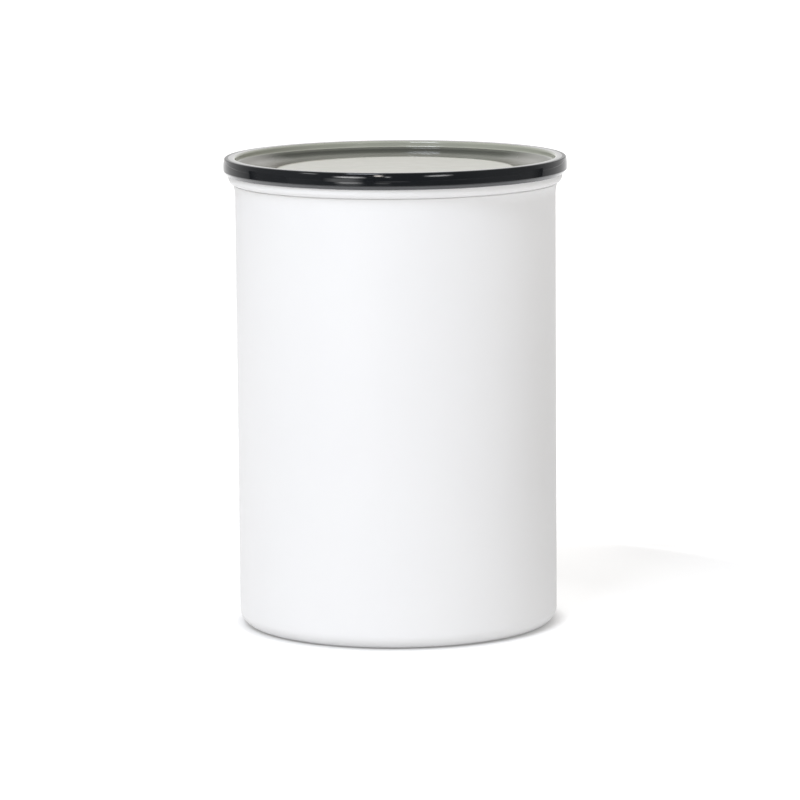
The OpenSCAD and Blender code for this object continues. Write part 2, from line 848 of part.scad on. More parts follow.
// Lifter bar: a centre boss and two arms that end over the cams
module lifter_bar() {
    color("lightgray")
        at_plate()
            difference() {
                union() {
                    translate([0, 0, bar_z]) {
                        cylinder(r = bar_boss_r, h = bar_t);
                        linear_extrude(bar_t)
                            both_sides() {
                                translate([0, -bar_w / 2])
                                    square([arm_end - bar_corner_r, bar_w]);
                                translate([0, -bar_w / 2 + bar_corner_r])
                                    square([arm_end, bar_w - 2 * bar_corner_r]);
                                for (side = [-1, 1])
                                    translate([arm_end - bar_corner_r, side * (bar_w / 2 - bar_corner_r)])
                                        circle(r = bar_corner_r);
                            }
                    }
                    both_sides()
                        translate([bar_rib_x, -bar_rib_w / 2, bar_z + bar_t - eps])
                            cube([arm_end - bar_rib_gap - bar_rib_x, bar_rib_w, bar_rib_h]);
                }
                translate([0, 0, bar_z - over])
                    cylinder(r = thread_r + fit_gap, h = bar_t + 2 * over);
            }
}

module lifter_nut() {
    color("gainsboro")
        at_plate()
            difference() {
                translate([0, 0, bar_z + bar_t]) {
                    cylinder(r = nut_r, h = nut_h, $fn = 6);
                    translate([0, 0, nut_h])
                        intersection() {
                            cylinder(r = nut_dome_r, h = nut_dome_h);
                            translate([0, 0, nut_dome_h - nut_ball_r])
                                sphere(r = nut_ball_r);
                        }
                }
                translate([0, 0, bar_z])
                    cylinder(r = thread_r + fit_gap, h = bar_t + thread_over + 2 * fit_gap);
            }
}

// Involute of the cam: the flat bar above it rises evenly with the angle
cam_rate = lift / 90;
cam_lead = lift / (PI / 2);
cam_steps = 20;
cam_turn = 94;
cam_tail_angle = -50;
cam_root = 1;
function cam_point(turn) =
    let (reach = cam_r + cam_rate * turn, a = 90 - turn)
    [reach * cos(a) + cam_lead * sin(a), reach * sin(a) - cam_lead * cos(a)];
cam_outline = concat(
    [[0, 0], [0, cam_r]],
    [for (i = [0 : cam_steps]) cam_point(i * cam_turn / cam_steps)],
    [[cam_r * cos(cam_tail_angle), cam_r * sin(cam_tail_angle)]]
);

module cam() {
    translate([cam_x, 0, pivot_z])
        rotate([90, 0, 90])
            linear_extrude(cam_w + cam_root) {
                polygon(cam_outline);
                circle(r = cam_r);
            }
}

// Rounded bar section, centred on the handle's arc
module bar_2d(w, t, corner) {
    translate([handle_r, 0]) {
        square([w - 2 * corner, t], center = true);
        square([w, t - 2 * corner], center = true);
        for (x = [-1, 1])
            for (y = [-1, 1])
                translate([x * (w / 2 - corner), y * (t / 2 - corner)])
                    circle(r = corner);
    }
}

module carry_handle() {
    color("darkgray")
        at_plate()
            difference() {
                union() {
                    translate([0, leg_straight, pivot_z]) {
                        rotate_extrude(angle = 180)
                            bar_2d(handle_w, handle_t, handle_round_r);
                        rotate([0, 0, 90 - grip_angle / 2])
                            rotate_extrude(angle = grip_angle)
                                bar_2d(grip_w, grip_t, grip_round_r);
                    }
                    translate([0, leg_straight, pivot_z])
                        rotate([90, 0, 0])
                            linear_extrude(leg_straight)
                                both_sides()
                                    bar_2d(handle_w, handle_t, handle_round_r);
                    both_sides() {
                        pivot_bar(hub_in_x, hub_out_x, hub_r);
                        cam();
                    }
                }
                both_sides()
                    pivot_bar(cam_x - over, hub_out_x + over, pin_r + pin_run_gap);
            }
}

// Pivot pin on the right, with its head outside the outer ear
module pivot_pin() {
    pivot_bar(pin_end_x, ear_out_x + ear_t + eps, pin_r);
    pivot_bar(ear_out_x + ear_t, ear_out_x + ear_t + pin_head_t, pin_head_r);
}

module pivot_pin_left() {
    color("gainsboro")
        at_plate()
            mirror([1, 0, 0])
                pivot_pin();
}

module pivot_pin_right() {
    color("gainsboro")
        at_plate()
            pivot_pin();
}

// Open rings that hold the pins in from the middle
module pivot_clips() {
    color("silver")
        at_plate()
            both_sides()
                difference() {
                    pivot_bar(clip_x, clip_x + pin_clip_t, pin_clip_r);
                    pivot_bar(clip_x - over, clip_x + pin_clip_t + over, pin_r + fit_gap);
                    translate([clip_x - over, -pin_clip_slot / 2, pivot_z])
                        cube([pin_clip_t + 2 * over, pin_clip_slot, far]);
                }
}

canister_shell();
outer_lid();
lid_gasket();
plunger_plate();
plunger_wiper();
wiper_retainer();
retainer_screws();
valve_seat();
grounds_screen();
screen_clip();
valve_cover();
cover_screws();
valve_spring();
valve_plug();
valve_seal();
lifter_bar();
lifter_nut();
carry_handle();
pivot_pin_left();
pivot_pin_right();
pivot_clips();
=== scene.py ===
"""Dresses the coffee canister: coated steel shell, smoke lid and sliding inner lid.

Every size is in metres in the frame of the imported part: +Z up, front at -Y,
origin at the centre of the base on the table.
"""

import logging
import math
from collections.abc import Callable
from dataclasses import dataclass
from enum import Enum

import bmesh
import bpy
from mathutils import Matrix, Vector

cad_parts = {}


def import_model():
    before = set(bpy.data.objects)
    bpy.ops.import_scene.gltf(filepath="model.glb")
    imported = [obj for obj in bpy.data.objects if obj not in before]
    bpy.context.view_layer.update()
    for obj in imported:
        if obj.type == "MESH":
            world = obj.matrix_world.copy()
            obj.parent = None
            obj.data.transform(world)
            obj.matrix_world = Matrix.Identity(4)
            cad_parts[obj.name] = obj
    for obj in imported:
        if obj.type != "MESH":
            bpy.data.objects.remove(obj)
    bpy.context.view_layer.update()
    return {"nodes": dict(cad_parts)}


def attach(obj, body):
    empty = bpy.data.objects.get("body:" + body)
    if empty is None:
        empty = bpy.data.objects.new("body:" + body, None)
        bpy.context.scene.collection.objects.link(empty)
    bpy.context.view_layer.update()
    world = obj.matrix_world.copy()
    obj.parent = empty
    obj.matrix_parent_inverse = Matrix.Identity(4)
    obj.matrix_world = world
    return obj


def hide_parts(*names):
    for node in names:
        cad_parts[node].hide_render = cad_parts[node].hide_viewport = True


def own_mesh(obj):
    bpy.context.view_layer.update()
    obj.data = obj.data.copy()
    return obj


LOG = logging.getLogger("canister")
MM = 0.001
# Painted reflections and painted light seen through the dish's smoke plastic, by radius in millimetres: ENDS at the
# front and back, SIDES at the left and right.
DISH_ENDS_PAINTED_LIGHT = (
    (44.6, (0.16, 0.16, 0.145)),
    (50.5, (0.14, 0.14, 0.125)),
    (53.5, (0.025, 0.026, 0.023)),
    (57.0, (0.025, 0.026, 0.023)),
    (58.3, (0.085, 0.087, 0.075)),
    (60.0, (0.12, 0.12, 0.105)),
    (62.6, (0.10, 0.10, 0.095)),
)
DISH_SIDES_PAINTED_LIGHT = (
    (44.6, (0.11, 0.085, 0.085)),
    (46.5, (0.12, 0.105, 0.10)),
    (49.0, (0.22, 0.205, 0.195)),
    (54.0, (0.31, 0.30, 0.285)),
    (60.0, (0.37, 0.365, 0.345)),
    (61.4, (0.18, 0.178, 0.172)),
    (62.4, (0.10, 0.10, 0.096)),
)


class Shading(Enum):
    """How the edges of a mesh are shaded."""

    SMOOTH = math.radians(60)
    CRISP = math.radians(30)


def colour_stops(tree: bpy.types.NodeTree, value: bpy.types.NodeSocket, stops: list[tuple[float, tuple]]) -> bpy.types.NodeSocket:
    """A colour that runs through several stops along a value.

    Args:
        tree: node tree that the ramp is put in.
        value: what the colour follows, from 0 to 1.
        stops: place and colour of each stop, in rising order.

    Returns:
        The colour.
    """
    node = tree.nodes.new("ShaderNodeValToRGB")
    elements = node.color_ramp.elements
    while len(elements) < len(stops):
        elements.new(1.0)
    for element, (place, colour) in zip(elements, stops):
        element.position = place
        element.color = (*colour, 1.0)
    tree.links.new(value, node.inputs["Fac"])
    return node.outputs["Color"]


def by_side(tree: bpy.types.NodeTree, direction: bpy.types.NodeSocket, stops: tuple[tuple[float, float], ...]) -> bpy.types.NodeSocket:
    """A grey that follows how far a level direction points to the back.

    Args:
        tree: node tree that the nodes are put in.
        direction: the direction, of length 1.
        stops: how far back, from -1 in front to 1 behind, and the grey of each stop.

    Returns:
        The colour.
    """
    parts, share = tree.nodes.new("ShaderNodeSeparateXYZ"), tree.nodes.new("ShaderNodeMapRange")
    share.inputs["From Min"].default_value = -1.0
    tree.links.new(direction, parts.inputs["Vector"])
    tree.links.new(parts.outputs["Y"], share.inputs["Value"])
    return colour_stops(tree, share.outputs["Result"], [((back + 1) / 2, (grey,) * 3) for back, grey in stops])


class Sheet:
    """A material's node tree, with short calls for the nodes that the finishes share."""

    def __init__(self, name: str) -> None:
        """Starts an empty node material.

        Args:
            name: name of the material.
        """
        self.material = bpy.data.materials.new(name)
        self.material.use_nodes = True
        self.tree = self.material.node_tree
        self.tree.nodes.clear()
        self.shader = self.tree.nodes.new("ShaderNodeBsdfPrincipled")
        output = self.tree.nodes.new("ShaderNodeOutputMaterial")
        self.tree.links.new(self.shader.outputs["BSDF"], output.inputs["Surface"])
        self.place = self.tree.nodes.new("ShaderNodeTexCoord").outputs["Object"]

    def set(self, **values: object) -> None:
        """Sets sockets of the shader by name, with spaces written as underscores."""
        for key, value in values.items():
            self.shader.inputs[key.replace("_", " ")].default_value = value

    def stretched(self, scale: tuple[float, float, float]) -> bpy.types.NodeSocket:
        """Object coordinates stretched along the axes.

        Args:
            scale: factor along X, Y and Z.

        Returns:
            The mapped vector.
        """
        mapping = self.tree.nodes.new("ShaderNodeMapping")
        mapping.inputs["Scale"].default_value = scale
        self.tree.links.new(self.place, mapping.inputs["Vector"])
        return mapping.outputs["Vector"]

    def noise(self, scale: float, detail: float = 2.0, vector: bpy.types.NodeSocket | None = None) -> bpy.types.NodeSocket:
        """Fractal noise.

        Args:
            scale: cells in a metre.
            detail: octaves.
            vector: coordinates, the object's own when left out.

        Returns:
            The noise value.
        """
        node = self.tree.nodes.new("ShaderNodeTexNoise")
        node.inputs["Scale"].default_value = scale
        node.inputs["Detail"].default_value = detail
        self.tree.links.new(vector or self.place, node.inputs["Vector"])
        return node.outputs["Fac"]

    def ramp(self, value: bpy.types.NodeSocket, low: tuple, high: tuple, start: float = 0.3, end: float = 0.7) -> bpy.types.NodeSocket:
        """Blends two colours along a value.

        Args:
            value: what the blend follows.
            low: colour at the start.
            high: colour at the end.
            start: value where the blend starts.
            end: value where it ends.

        Returns:
            The blended colour.
        """
        node = self.tree.nodes.new("ShaderNodeValToRGB")
        node.color_ramp.elements[0].position = start
        node.color_ramp.elements[1].position = end
        node.color_ramp.elements[0].color = (*low, 1.0)
        node.color_ramp.elements[1].color = (*high, 1.0)
        self.tree.links.new(value, node.inputs["Fac"])
        return node.outputs["Color"]

    def by_radius(self, stops: list[tuple[float, tuple]], reach: float) -> bpy.types.NodeSocket:
        """A colour that follows the distance from the vertical axis.

        Args:
            stops: share of the reach and colour of each stop, from the axis outwards.
            reach: distance in metres that the last share stands for.

        Returns:
            The colour.
        """
        length = self.tree.nodes.new("ShaderNodeVectorMath")
        length.operation = "LENGTH"
        self.tree.links.new(self.stretched((1.0 / reach, 1.0 / reach, 0.0)), length.inputs[0])
        return colour_stops(self.tree, length.outputs["Value"], stops)

    def level_direction(self) -> bpy.types.NodeSocket:
        """Level direction from the vertical axis, of length 1."""
        node = self.tree.nodes.new("ShaderNodeVectorMath")
        node.operation = "NORMALIZE"
        self.tree.links.new(self.stretched((1.0, 1.0, 0.0)), node.inputs[0])
        return node.outputs["Vector"]

    def sideways(self, low: float, high: float) -> bpy.types.NodeSocket:
        """How far a place lies to the left or right, seen from the axis.

        Args:
            low: sine of the angle from front or back where the result is 0.
            high: sine of the angle where it is 1.

        Returns:
            The value.
        """
        parts, flip, share = (self.tree.nodes.new(kind) for kind in ("ShaderNodeSeparateXYZ", "ShaderNodeMath", "ShaderNodeMapRange"))
        flip.operation = "ABSOLUTE"
        share.interpolation_type = "SMOOTHSTEP"
        share.inputs["From Min"].default_value = low
        share.inputs["From Max"].default_value = high
        self.tree.links.new(self.level_direction(), parts.inputs["Vector"])
        self.tree.links.new(parts.outputs["X"], flip.inputs[0])
        self.tree.links.new(flip.outputs["Value"], share.inputs["Value"])
        return share.outputs["Result"]

    def mixed(self, share: bpy.types.NodeSocket, first: bpy.types.NodeSocket, second: bpy.types.NodeSocket) -> bpy.types.NodeSocket:
        """Blends two colours.

        Args:
            share: share of the second colour.
            first: the first colour.
            second: the second colour.

        Returns:
            The blend.
        """
        node = self.tree.nodes.new("ShaderNodeMix")
        node.data_type = "RGBA"
        colours = [socket for socket in node.inputs if socket.type == "RGBA"]
        self.tree.links.new(share, node.inputs["Factor"])
        self.tree.links.new(first, colours[0])
        self.tree.links.new(second, colours[1])
        return next(socket for socket in node.outputs if socket.type == "RGBA")

    def spread(self, value: bpy.types.NodeSocket, low: float, high: float) -> bpy.types.NodeSocket:
        """Maps noise between 0.3 and 0.7 to a range.

        Args:
            value: noise value.
            low: result at 0.3.
            high: result at 0.7.

        Returns:
            The mapped value.
        """
        node = self.tree.nodes.new("ShaderNodeMapRange")
        node.inputs["From Min"].default_value = 0.3
        node.inputs["From Max"].default_value = 0.7
        node.inputs["To Min"].default_value = low
        node.inputs["To Max"].default_value = high
        self.tree.links.new(value, node.inputs["Value"])
        return node.outputs["Result"]

    def bump(self, value: bpy.types.NodeSocket, height: float, strength: float = 1.0) -> None:
        """Adds a bump on top of those already there.

        Args:
            value: height pattern from 0 to 1.
            height: real height of the pattern in metres.
            strength: share of the effect.
        """
        node = self.tree.nodes.new("ShaderNodeBump")
        node.inputs["Distance"].default_value = height
        node.inputs["Strength"].default_value = strength
        self.tree.links.new(value, node.inputs["Height"])
        normal = self.shader.inputs["Normal"]
        if normal.links:
            self.tree.links.new(normal.links[0].from_socket, node.inputs["Normal"])
        self.tree.links.new(node.outputs["Normal"], normal)

    def feed(self, socket: str, value: bpy.types.NodeSocket) -> None:
        """Links a value to a socket of the shader."""
        self.tree.links.new(value, self.shader.inputs[socket])


@dataclass(frozen=True)
class PowderCoat:
    """Matt white powder coat with its fine orange peel."""

    name: str = "powder_coat"
    light: tuple[float, float, float] = (0.715, 0.715, 0.715)
    shade: tuple[float, float, float] = (0.70, 0.70, 0.702)
    roughness: float = 0.46
    peel: float = 1100.0

    def material(self) -> bpy.types.Material:
        """Builds the finish."""
        sheet = Sheet(self.name)
        sheet.set(IOR=1.5)
        sheet.feed("Base Color", sheet.ramp(sheet.noise(14.0, 3.0), self.shade, self.light))
        sheet.feed("Roughness", sheet.spread(sheet.noise(300.0), self.roughness - 0.03, self.roughness + 0.04))
        sheet.bump(sheet.noise(self.peel, 2.0), 0.00003, 0.35)
        sheet.bump(sheet.noise(self.peel * 4, 1.0), 0.00001, 0.3)
        return sheet.material


@dataclass(frozen=True)
class SpunSteel:
    """Bare steel with fine lines round the axis."""

    name: str = "spun_steel"
    light: tuple[float, float, float] = (0.62, 0.61, 0.59)
    shade: tuple[float, float, float] = (0.54, 0.535, 0.52)
    roughness: float = 0.3

    def material(self) -> bpy.types.Material:
        """Builds the finish."""
        sheet = Sheet(self.name)
        sheet.set(Metallic=1.0)
        lines = sheet.noise(1.0, 3.0, sheet.stretched((8.0, 8.0, 4200.0)))
        sheet.feed("Base Color", sheet.ramp(lines, self.shade, self.light))
        sheet.feed("Roughness", sheet.spread(lines, self.roughness - 0.06, self.roughness + 0.08))
        sheet.bump(lines, 0.00001, 0.25)
        return sheet.material


@dataclass(frozen=True)
class PolishedSteel:
    """Small turned or pressed steel hardware."""

    name: str = "polished_steel"
    tint: tuple[float, float, float] = (0.66, 0.655, 0.64)
    roughness: float = 0.2

    def material(self) -> bpy.types.Material:
        """Builds the finish."""
        sheet = Sheet(self.name)
        sheet.set(Metallic=1.0)
        dark = tuple(0.86 * c for c in self.tint)
        grain = sheet.noise(1.0, 3.0, sheet.stretched((90.0, 2600.0, 2600.0)))
        sheet.feed("Base Color", sheet.ramp(sheet.noise(90.0, 3.0), dark, self.tint))
        sheet.feed("Roughness", sheet.spread(grain, self.roughness - 0.04, self.roughness + 0.08))
        sheet.bump(grain, 0.000003, 0.2)
        return sheet.material


@dataclass(frozen=True)
class Plastic:
    """Moulded plastic, from glossy to finely eroded."""

    name: str
    light: tuple[float, float, float]
    shade: tuple[float, float, float]
    roughness: float
    grain: float = 2200.0
    grain_height: float = 0.00001
    clear: float = 0.0
    level: float = 0.5

    def material(self) -> bpy.types.Material:
        """Builds the finish."""
        sheet = Sheet(self.name)
        sheet.set(IOR=1.5, Transmission_Weight=self.clear, Specular_IOR_Level=self.level)
        sheet.feed("Base Color", sheet.ramp(sheet.noise(40.0, 3.0), self.shade, self.light))
        spread = 0.15 * self.roughness
        sheet.feed("Roughness", sheet.spread(sheet.noise(180.0, 3.0), self.roughness - spread, self.roughness + spread))
        sheet.bump(sheet.noise(self.grain, 3.0), self.grain_height, 0.4)
        return sheet.material


@dataclass(frozen=True)
class SmokeDishPaintedLight:
    """Smoke plastic of the lid's dish, with painted reflections and painted light seen through it: its colour changes
    with the radius and is lighter to the left and right.

    The stops are radii in millimetres with their colours.
    """

    name: str
    stops: tuple[tuple[float, tuple[float, float, float]], ...]
    side_stops: tuple[tuple[float, tuple[float, float, float]], ...]
    reach: float = 66.0
    roughness: float = 0.07

    def material(self) -> bpy.types.Material:
        """Builds the finish."""
        sheet = Sheet(self.name)
        sheet.set(IOR=1.5)
        ends, sides = (sheet.by_radius([(r / self.reach, colour) for r, colour in stops], self.reach * MM) for stops in (self.stops, self.side_stops))
        # Painted reflection: the dish is lighter to the left and right than at the front and back.
        sheet.feed("Base Color", sheet.mixed(sheet.sideways(0.72, 0.97), ends, sides))
        sheet.feed("Roughness", sheet.spread(sheet.noise(180.0, 3.0), self.roughness - 0.02, self.roughness + 0.03))
        sheet.bump(sheet.noise(500.0, 3.0), 0.00001, 0.4)
        return sheet.material


@dataclass(frozen=True)
class Silicone:
    """Soft moulded silicone with a faint bloom."""

    name: str
    light: tuple[float, float, float]
    shade: tuple[float, float, float]
    roughness: float = 0.38
    clear: float = 0.0

    def material(self) -> bpy.types.Material:
        """Builds the finish."""
        sheet = Sheet(self.name)
        sheet.set(IOR=1.41, Transmission_Weight=self.clear)
        sheet.feed("Base Color", sheet.ramp(sheet.noise(60.0, 3.0), self.shade, self.light))
        sheet.feed("Roughness", sheet.spread(sheet.noise(240.0, 3.0), self.roughness - 0.08, self.roughness + 0.1))
        sheet.bump(sheet.noise(1500.0, 2.0), 0.00001, 0.3)
        return sheet.material


class Finishes:
    """All the finishes of the canister, built once."""

    def __init__(self) -> None:
        """Builds the materials."""
        self.coat = PowderCoat().material()
        self.inside = SpunSteel().material()
        self.steel = PolishedSteel().material()
        self.smoke = Plastic("smoke_plastic", (0.0065, 0.0075, 0.009), (0.005, 0.006, 0.0075), 0.08, 500.0, 0.00001).material()
        # Painted light: a lighter copy of the smoke plastic for the skirt's bottom edge, where light shows through.
        self.lip_painted_light = Plastic("smoke_lip_painted_light", (0.062, 0.064, 0.068), (0.055, 0.057, 0.061), 0.08, 500.0, 0.00001).material()
        # Painted backlight: a pale colour on the inner face of the rim above the gasket, for the light that shines
        # through it.
        self.painted_backlit_wall = Plastic("smoke_wall_painted_backlight", (0.37, 0.382, 0.32), (0.345, 0.355, 0.30), 0.05, 500.0, 0.00001).material()
        # Painted shade: a copy of the smoke plastic with its reflection turned almost off, for the flat top of the rim.
        self.land_painted_shade = Plastic("smoke_land_painted_shade", (0.03, 0.03, 0.03), (0.026, 0.026, 0.026), 0.12, 500.0, 0.00001, level=0.03).material()
        # The dish's painted reflections and painted see-through light.
        self.dish = SmokeDishPaintedLight("smoke_dish_painted_light", DISH_ENDS_PAINTED_LIGHT, DISH_SIDES_PAINTED_LIGHT).material()
        # The floor disc is frosted, and its pale colour is painted light seen through it.
        self.frosted_painted_light = Plastic("frosted_smoke_painted_light", (0.55, 0.545, 0.495), (0.54, 0.535, 0.485), 0.5, 2600.0, 0.000006).material()
        self.black = Silicone("black_silicone", (0.022, 0.022, 0.023), (0.017, 0.017, 0.018), 0.5).material()
        self.dark = Plastic("dark_plastic", (0.026, 0.027, 0.029), (0.020, 0.021, 0.023), 0.42, 3000.0, 0.00003).material()
        self.mid = Plastic("mid_plastic", (0.115, 0.118, 0.122), (0.095, 0.098, 0.102), 0.36, 3000.0, 0.00002).material()
        self.clear = Silicone("clear_silicone", (0.78, 0.79, 0.78), (0.70, 0.72, 0.71), 0.36, 0.35).material()
        self.grey = Silicone("grey_silicone", (0.30, 0.305, 0.31), (0.26, 0.265, 0.27), 0.45).material()


class Profile:
    """A line in the plane of radius and height, drawn point by point."""

    def __init__(self, start: tuple[float, float]) -> None:
        """Starts the line.

        Args:
            start: radius and height of the first point, in millimetres.
        """
        self.points = [Vector(start)]

    def to(self, radius: float, height: float, steps: int = 1) -> "Profile":
        """Adds a straight stretch.

        Args:
            radius: radius of its end.
            height: height of its end.
            steps: parts that the stretch is cut into.

        Returns:
            The profile itself.
        """
        start, end = self.points[-1], Vector((radius, height))
        self.points += [start.lerp(end, (i + 1) / steps) for i in range(steps)]
        return self

    def arc(self, centre: tuple[float, float], size: float, start: float, end: float, steps: int) -> "Profile":
        """Adds an arc.

        Args:
            centre: its centre.
            size: its radius.
            start: angle where it starts, in degrees.
            end: angle where it ends.
            steps: parts of the arc.

        Returns:
            The profile itself.
        """
        for i in range(steps + 1):
            a = math.radians(start + (end - start) * i / steps)
            point = Vector((centre[0] + size * math.cos(a), centre[1] + size * math.sin(a)))
            if (point - self.points[-1]).length > 1e-4:
                self.points.append(point)
        return self


class Lathe:
    """Turns a profile round the axis with Geometry Nodes."""

    TURN_RADIUS = 0.05

    def __init__(self) -> None:
        """Builds the node tree once, for every turned piece."""
        tree = bpy.data.node_groups.new("lathe", "GeometryNodeTree")
        face = tree.interface
        face.new_socket("Profile", in_out="INPUT", socket_type="NodeSocketGeometry")
        face.new_socket("Segments", in_out="INPUT", socket_type="NodeSocketInt")
        face.new_socket("Finish", in_out="INPUT", socket_type="NodeSocketMaterial")
        face.new_socket("Turned", in_out="OUTPUT", socket_type="NodeSocketGeometry")
        new, link = tree.nodes.new, tree.links.new
        source, sink = new("NodeGroupInput"), new("NodeGroupOutput")
        outline = new("GeometryNodeMeshToCurve")
        circle = new("GeometryNodeCurvePrimitiveCircle")
        circle.inputs["Radius"].default_value = self.TURN_RADIUS
        sweep = new("GeometryNodeCurveToMesh")
        merge = new("GeometryNodeMergeByDistance")
        merge.inputs["Distance"].default_value = 2e-6
        realize = new("GeometryNodeRealizeInstances")
        paint = new("GeometryNodeSetMaterial")
        link(source.outputs["Profile"], outline.inputs["Mesh"])
        link(source.outputs["Segments"], circle.inputs["Resolution"])
        link(circle.outputs["Curve"], sweep.inputs["Curve"])
        link(outline.outputs["Curve"], sweep.inputs["Profile Curve"])
        link(sweep.outputs["Mesh"], merge.inputs["Geometry"])
        link(merge.outputs["Geometry"], realize.inputs["Geometry"])
        link(realize.outputs["Geometry"], paint.inputs["Geometry"])
        link(source.outputs["Finish"], paint.inputs["Material"])
        link(paint.outputs["Geometry"], sink.inputs["Turned"])
        self.tree = tree

    def turn(self, name: str, profile: Profile, finish: bpy.types.Material, segments: int = 256, raised: float = 0.0, closed: bool = True) -> bpy.types.Object:
        """Makes a turned piece.

        Args:
            name: name of the piece.
            profile: its outline in millimetres.
            finish: its material.
            segments: facets round the axis.
            raised: height in metres that the outline is moved up.
            closed: whether the outline's end joins its start.

        Returns:
            The finished piece.
        """
        count = len(profile.points)
        points = [(p.x * MM - self.TURN_RADIUS, -p.y * MM - raised, 0.0) for p in profile.points]
        edges = [(i, i + 1) for i in range(count - 1)]
        if closed:
            edges.append((count - 1, 0))
        mesh = bpy.data.meshes.new(name)
        mesh.from_pydata(points, edges, [])
        piece = bpy.data.objects.new(name, mesh)
        bpy.context.scene.collection.objects.link(piece)
        return bake(piece, self.tree, {"Segments": segments, "Finish": finish}, finish)


def bake(piece: bpy.types.Object, tree: bpy.types.NodeTree, inputs: dict[str, object], finish: bpy.types.Material, shading: Shading = Shading.CRISP) -> bpy.types.Object:
    """Runs a node tree on a piece and keeps the result as a plain mesh.

    Args:
        piece: object that the tree starts from.
        tree: the Geometry Nodes tree.
        inputs: values of its named inputs.
        finish: material of the result.
        shading: how its edges are shaded.

    Returns:
        The same object with its new mesh.
    """
    modifier = piece.modifiers.new("build", "NODES")
    modifier.node_group = tree
    for item in tree.interface.items_tree:
        if item.in_out == "INPUT" and item.name in inputs:
            modifier[item.identifier] = inputs[item.name]
    bpy.context.view_layer.update()
    graph = bpy.context.evaluated_depsgraph_get()
    mesh = bpy.data.meshes.new_from_object(piece.evaluated_get(graph))
    piece.modifiers.remove(modifier)
    piece.data = mesh
    mesh.name = piece.name
    return finish_mesh(piece, finish, shading)


def finish_mesh(piece: bpy.types.Object, finish: bpy.types.Material, shading: Shading) -> bpy.types.Object:
    """Turns the faces outwards, shades them and gives them one material.

    Args:
        piece: object to finish.
        finish: its material.
        shading: how its edges are shaded.

    Returns:
        The same object.
    """
    mesh = piece.data
    work = bmesh.new()
    work.from_mesh(mesh)
    bmesh.ops.remove_doubles(work, verts=work.verts, dist=1e-7)
    bmesh.ops.recalc_face_normals(work, faces=work.faces)
    work.to_mesh(mesh)
    work.free()
    mesh.materials.clear()
    mesh.materials.append(finish)
    mesh.polygons.foreach_set("use_smooth", [True] * len(mesh.polygons))
    mesh.set_sharp_from_angle(angle=shading.value)
    return piece


def weld(first: bpy.types.Object, *others: bpy.types.Object) -> bpy.types.Object:
    """Joins pieces that share an edge into the first, each part keeping its material.

    Args:
        first: object that keeps its name.
        others: objects that are joined to it and removed.

    Returns:
        The first object.
    """
    work = bmesh.new()
    work.from_mesh(first.data)
    for other in others:
        start = len(work.faces)
        first.data.materials.append(other.data.materials[0])
        work.from_mesh(other.data)
        work.faces.ensure_lookup_table()
        for face in work.faces[start:]:
            face.material_index = len(first.data.materials) - 1
        bpy.data.objects.remove(other)
    bmesh.ops.remove_doubles(work, verts=work.verts, dist=2e-6)
    bmesh.ops.recalc_face_normals(work, faces=work.faces)
    work.to_mesh(first.data)
    work.free()
    first.data.set_sharp_from_angle(angle=Shading.CRISP.value)
    return first


def paint_where(piece: bpy.types.Object, finish: bpy.types.Material, test: Callable[[float, float], bool]) -> None:
    """Gives some faces another material.

    Args:
        piece: object to paint.
        finish: the other material.
        test: whether a face belongs to it, from its middle's radius and height in millimetres.
    """
    piece.data.materials.append(finish)
    index = len(piece.data.materials) - 1
    for face in piece.data.polygons:
        centre = face.center
        if test(math.hypot(centre.x, centre.y) / MM, centre.z / MM):
            face.material_index = index


def dress(nodes: dict[str, bpy.types.Object], names: tuple[str, ...], finish: bpy.types.Material) -> None:
    """Gives CAD nodes a finish.

    Args:
        nodes: the frame's nodes.
        names: names of those to dress.
        finish: their material.
    """
    for name in names:
        piece = nodes[name]
        piece.data.materials.clear()
        piece.data.materials.append(finish)
        LOG.info("dressed %s", name)


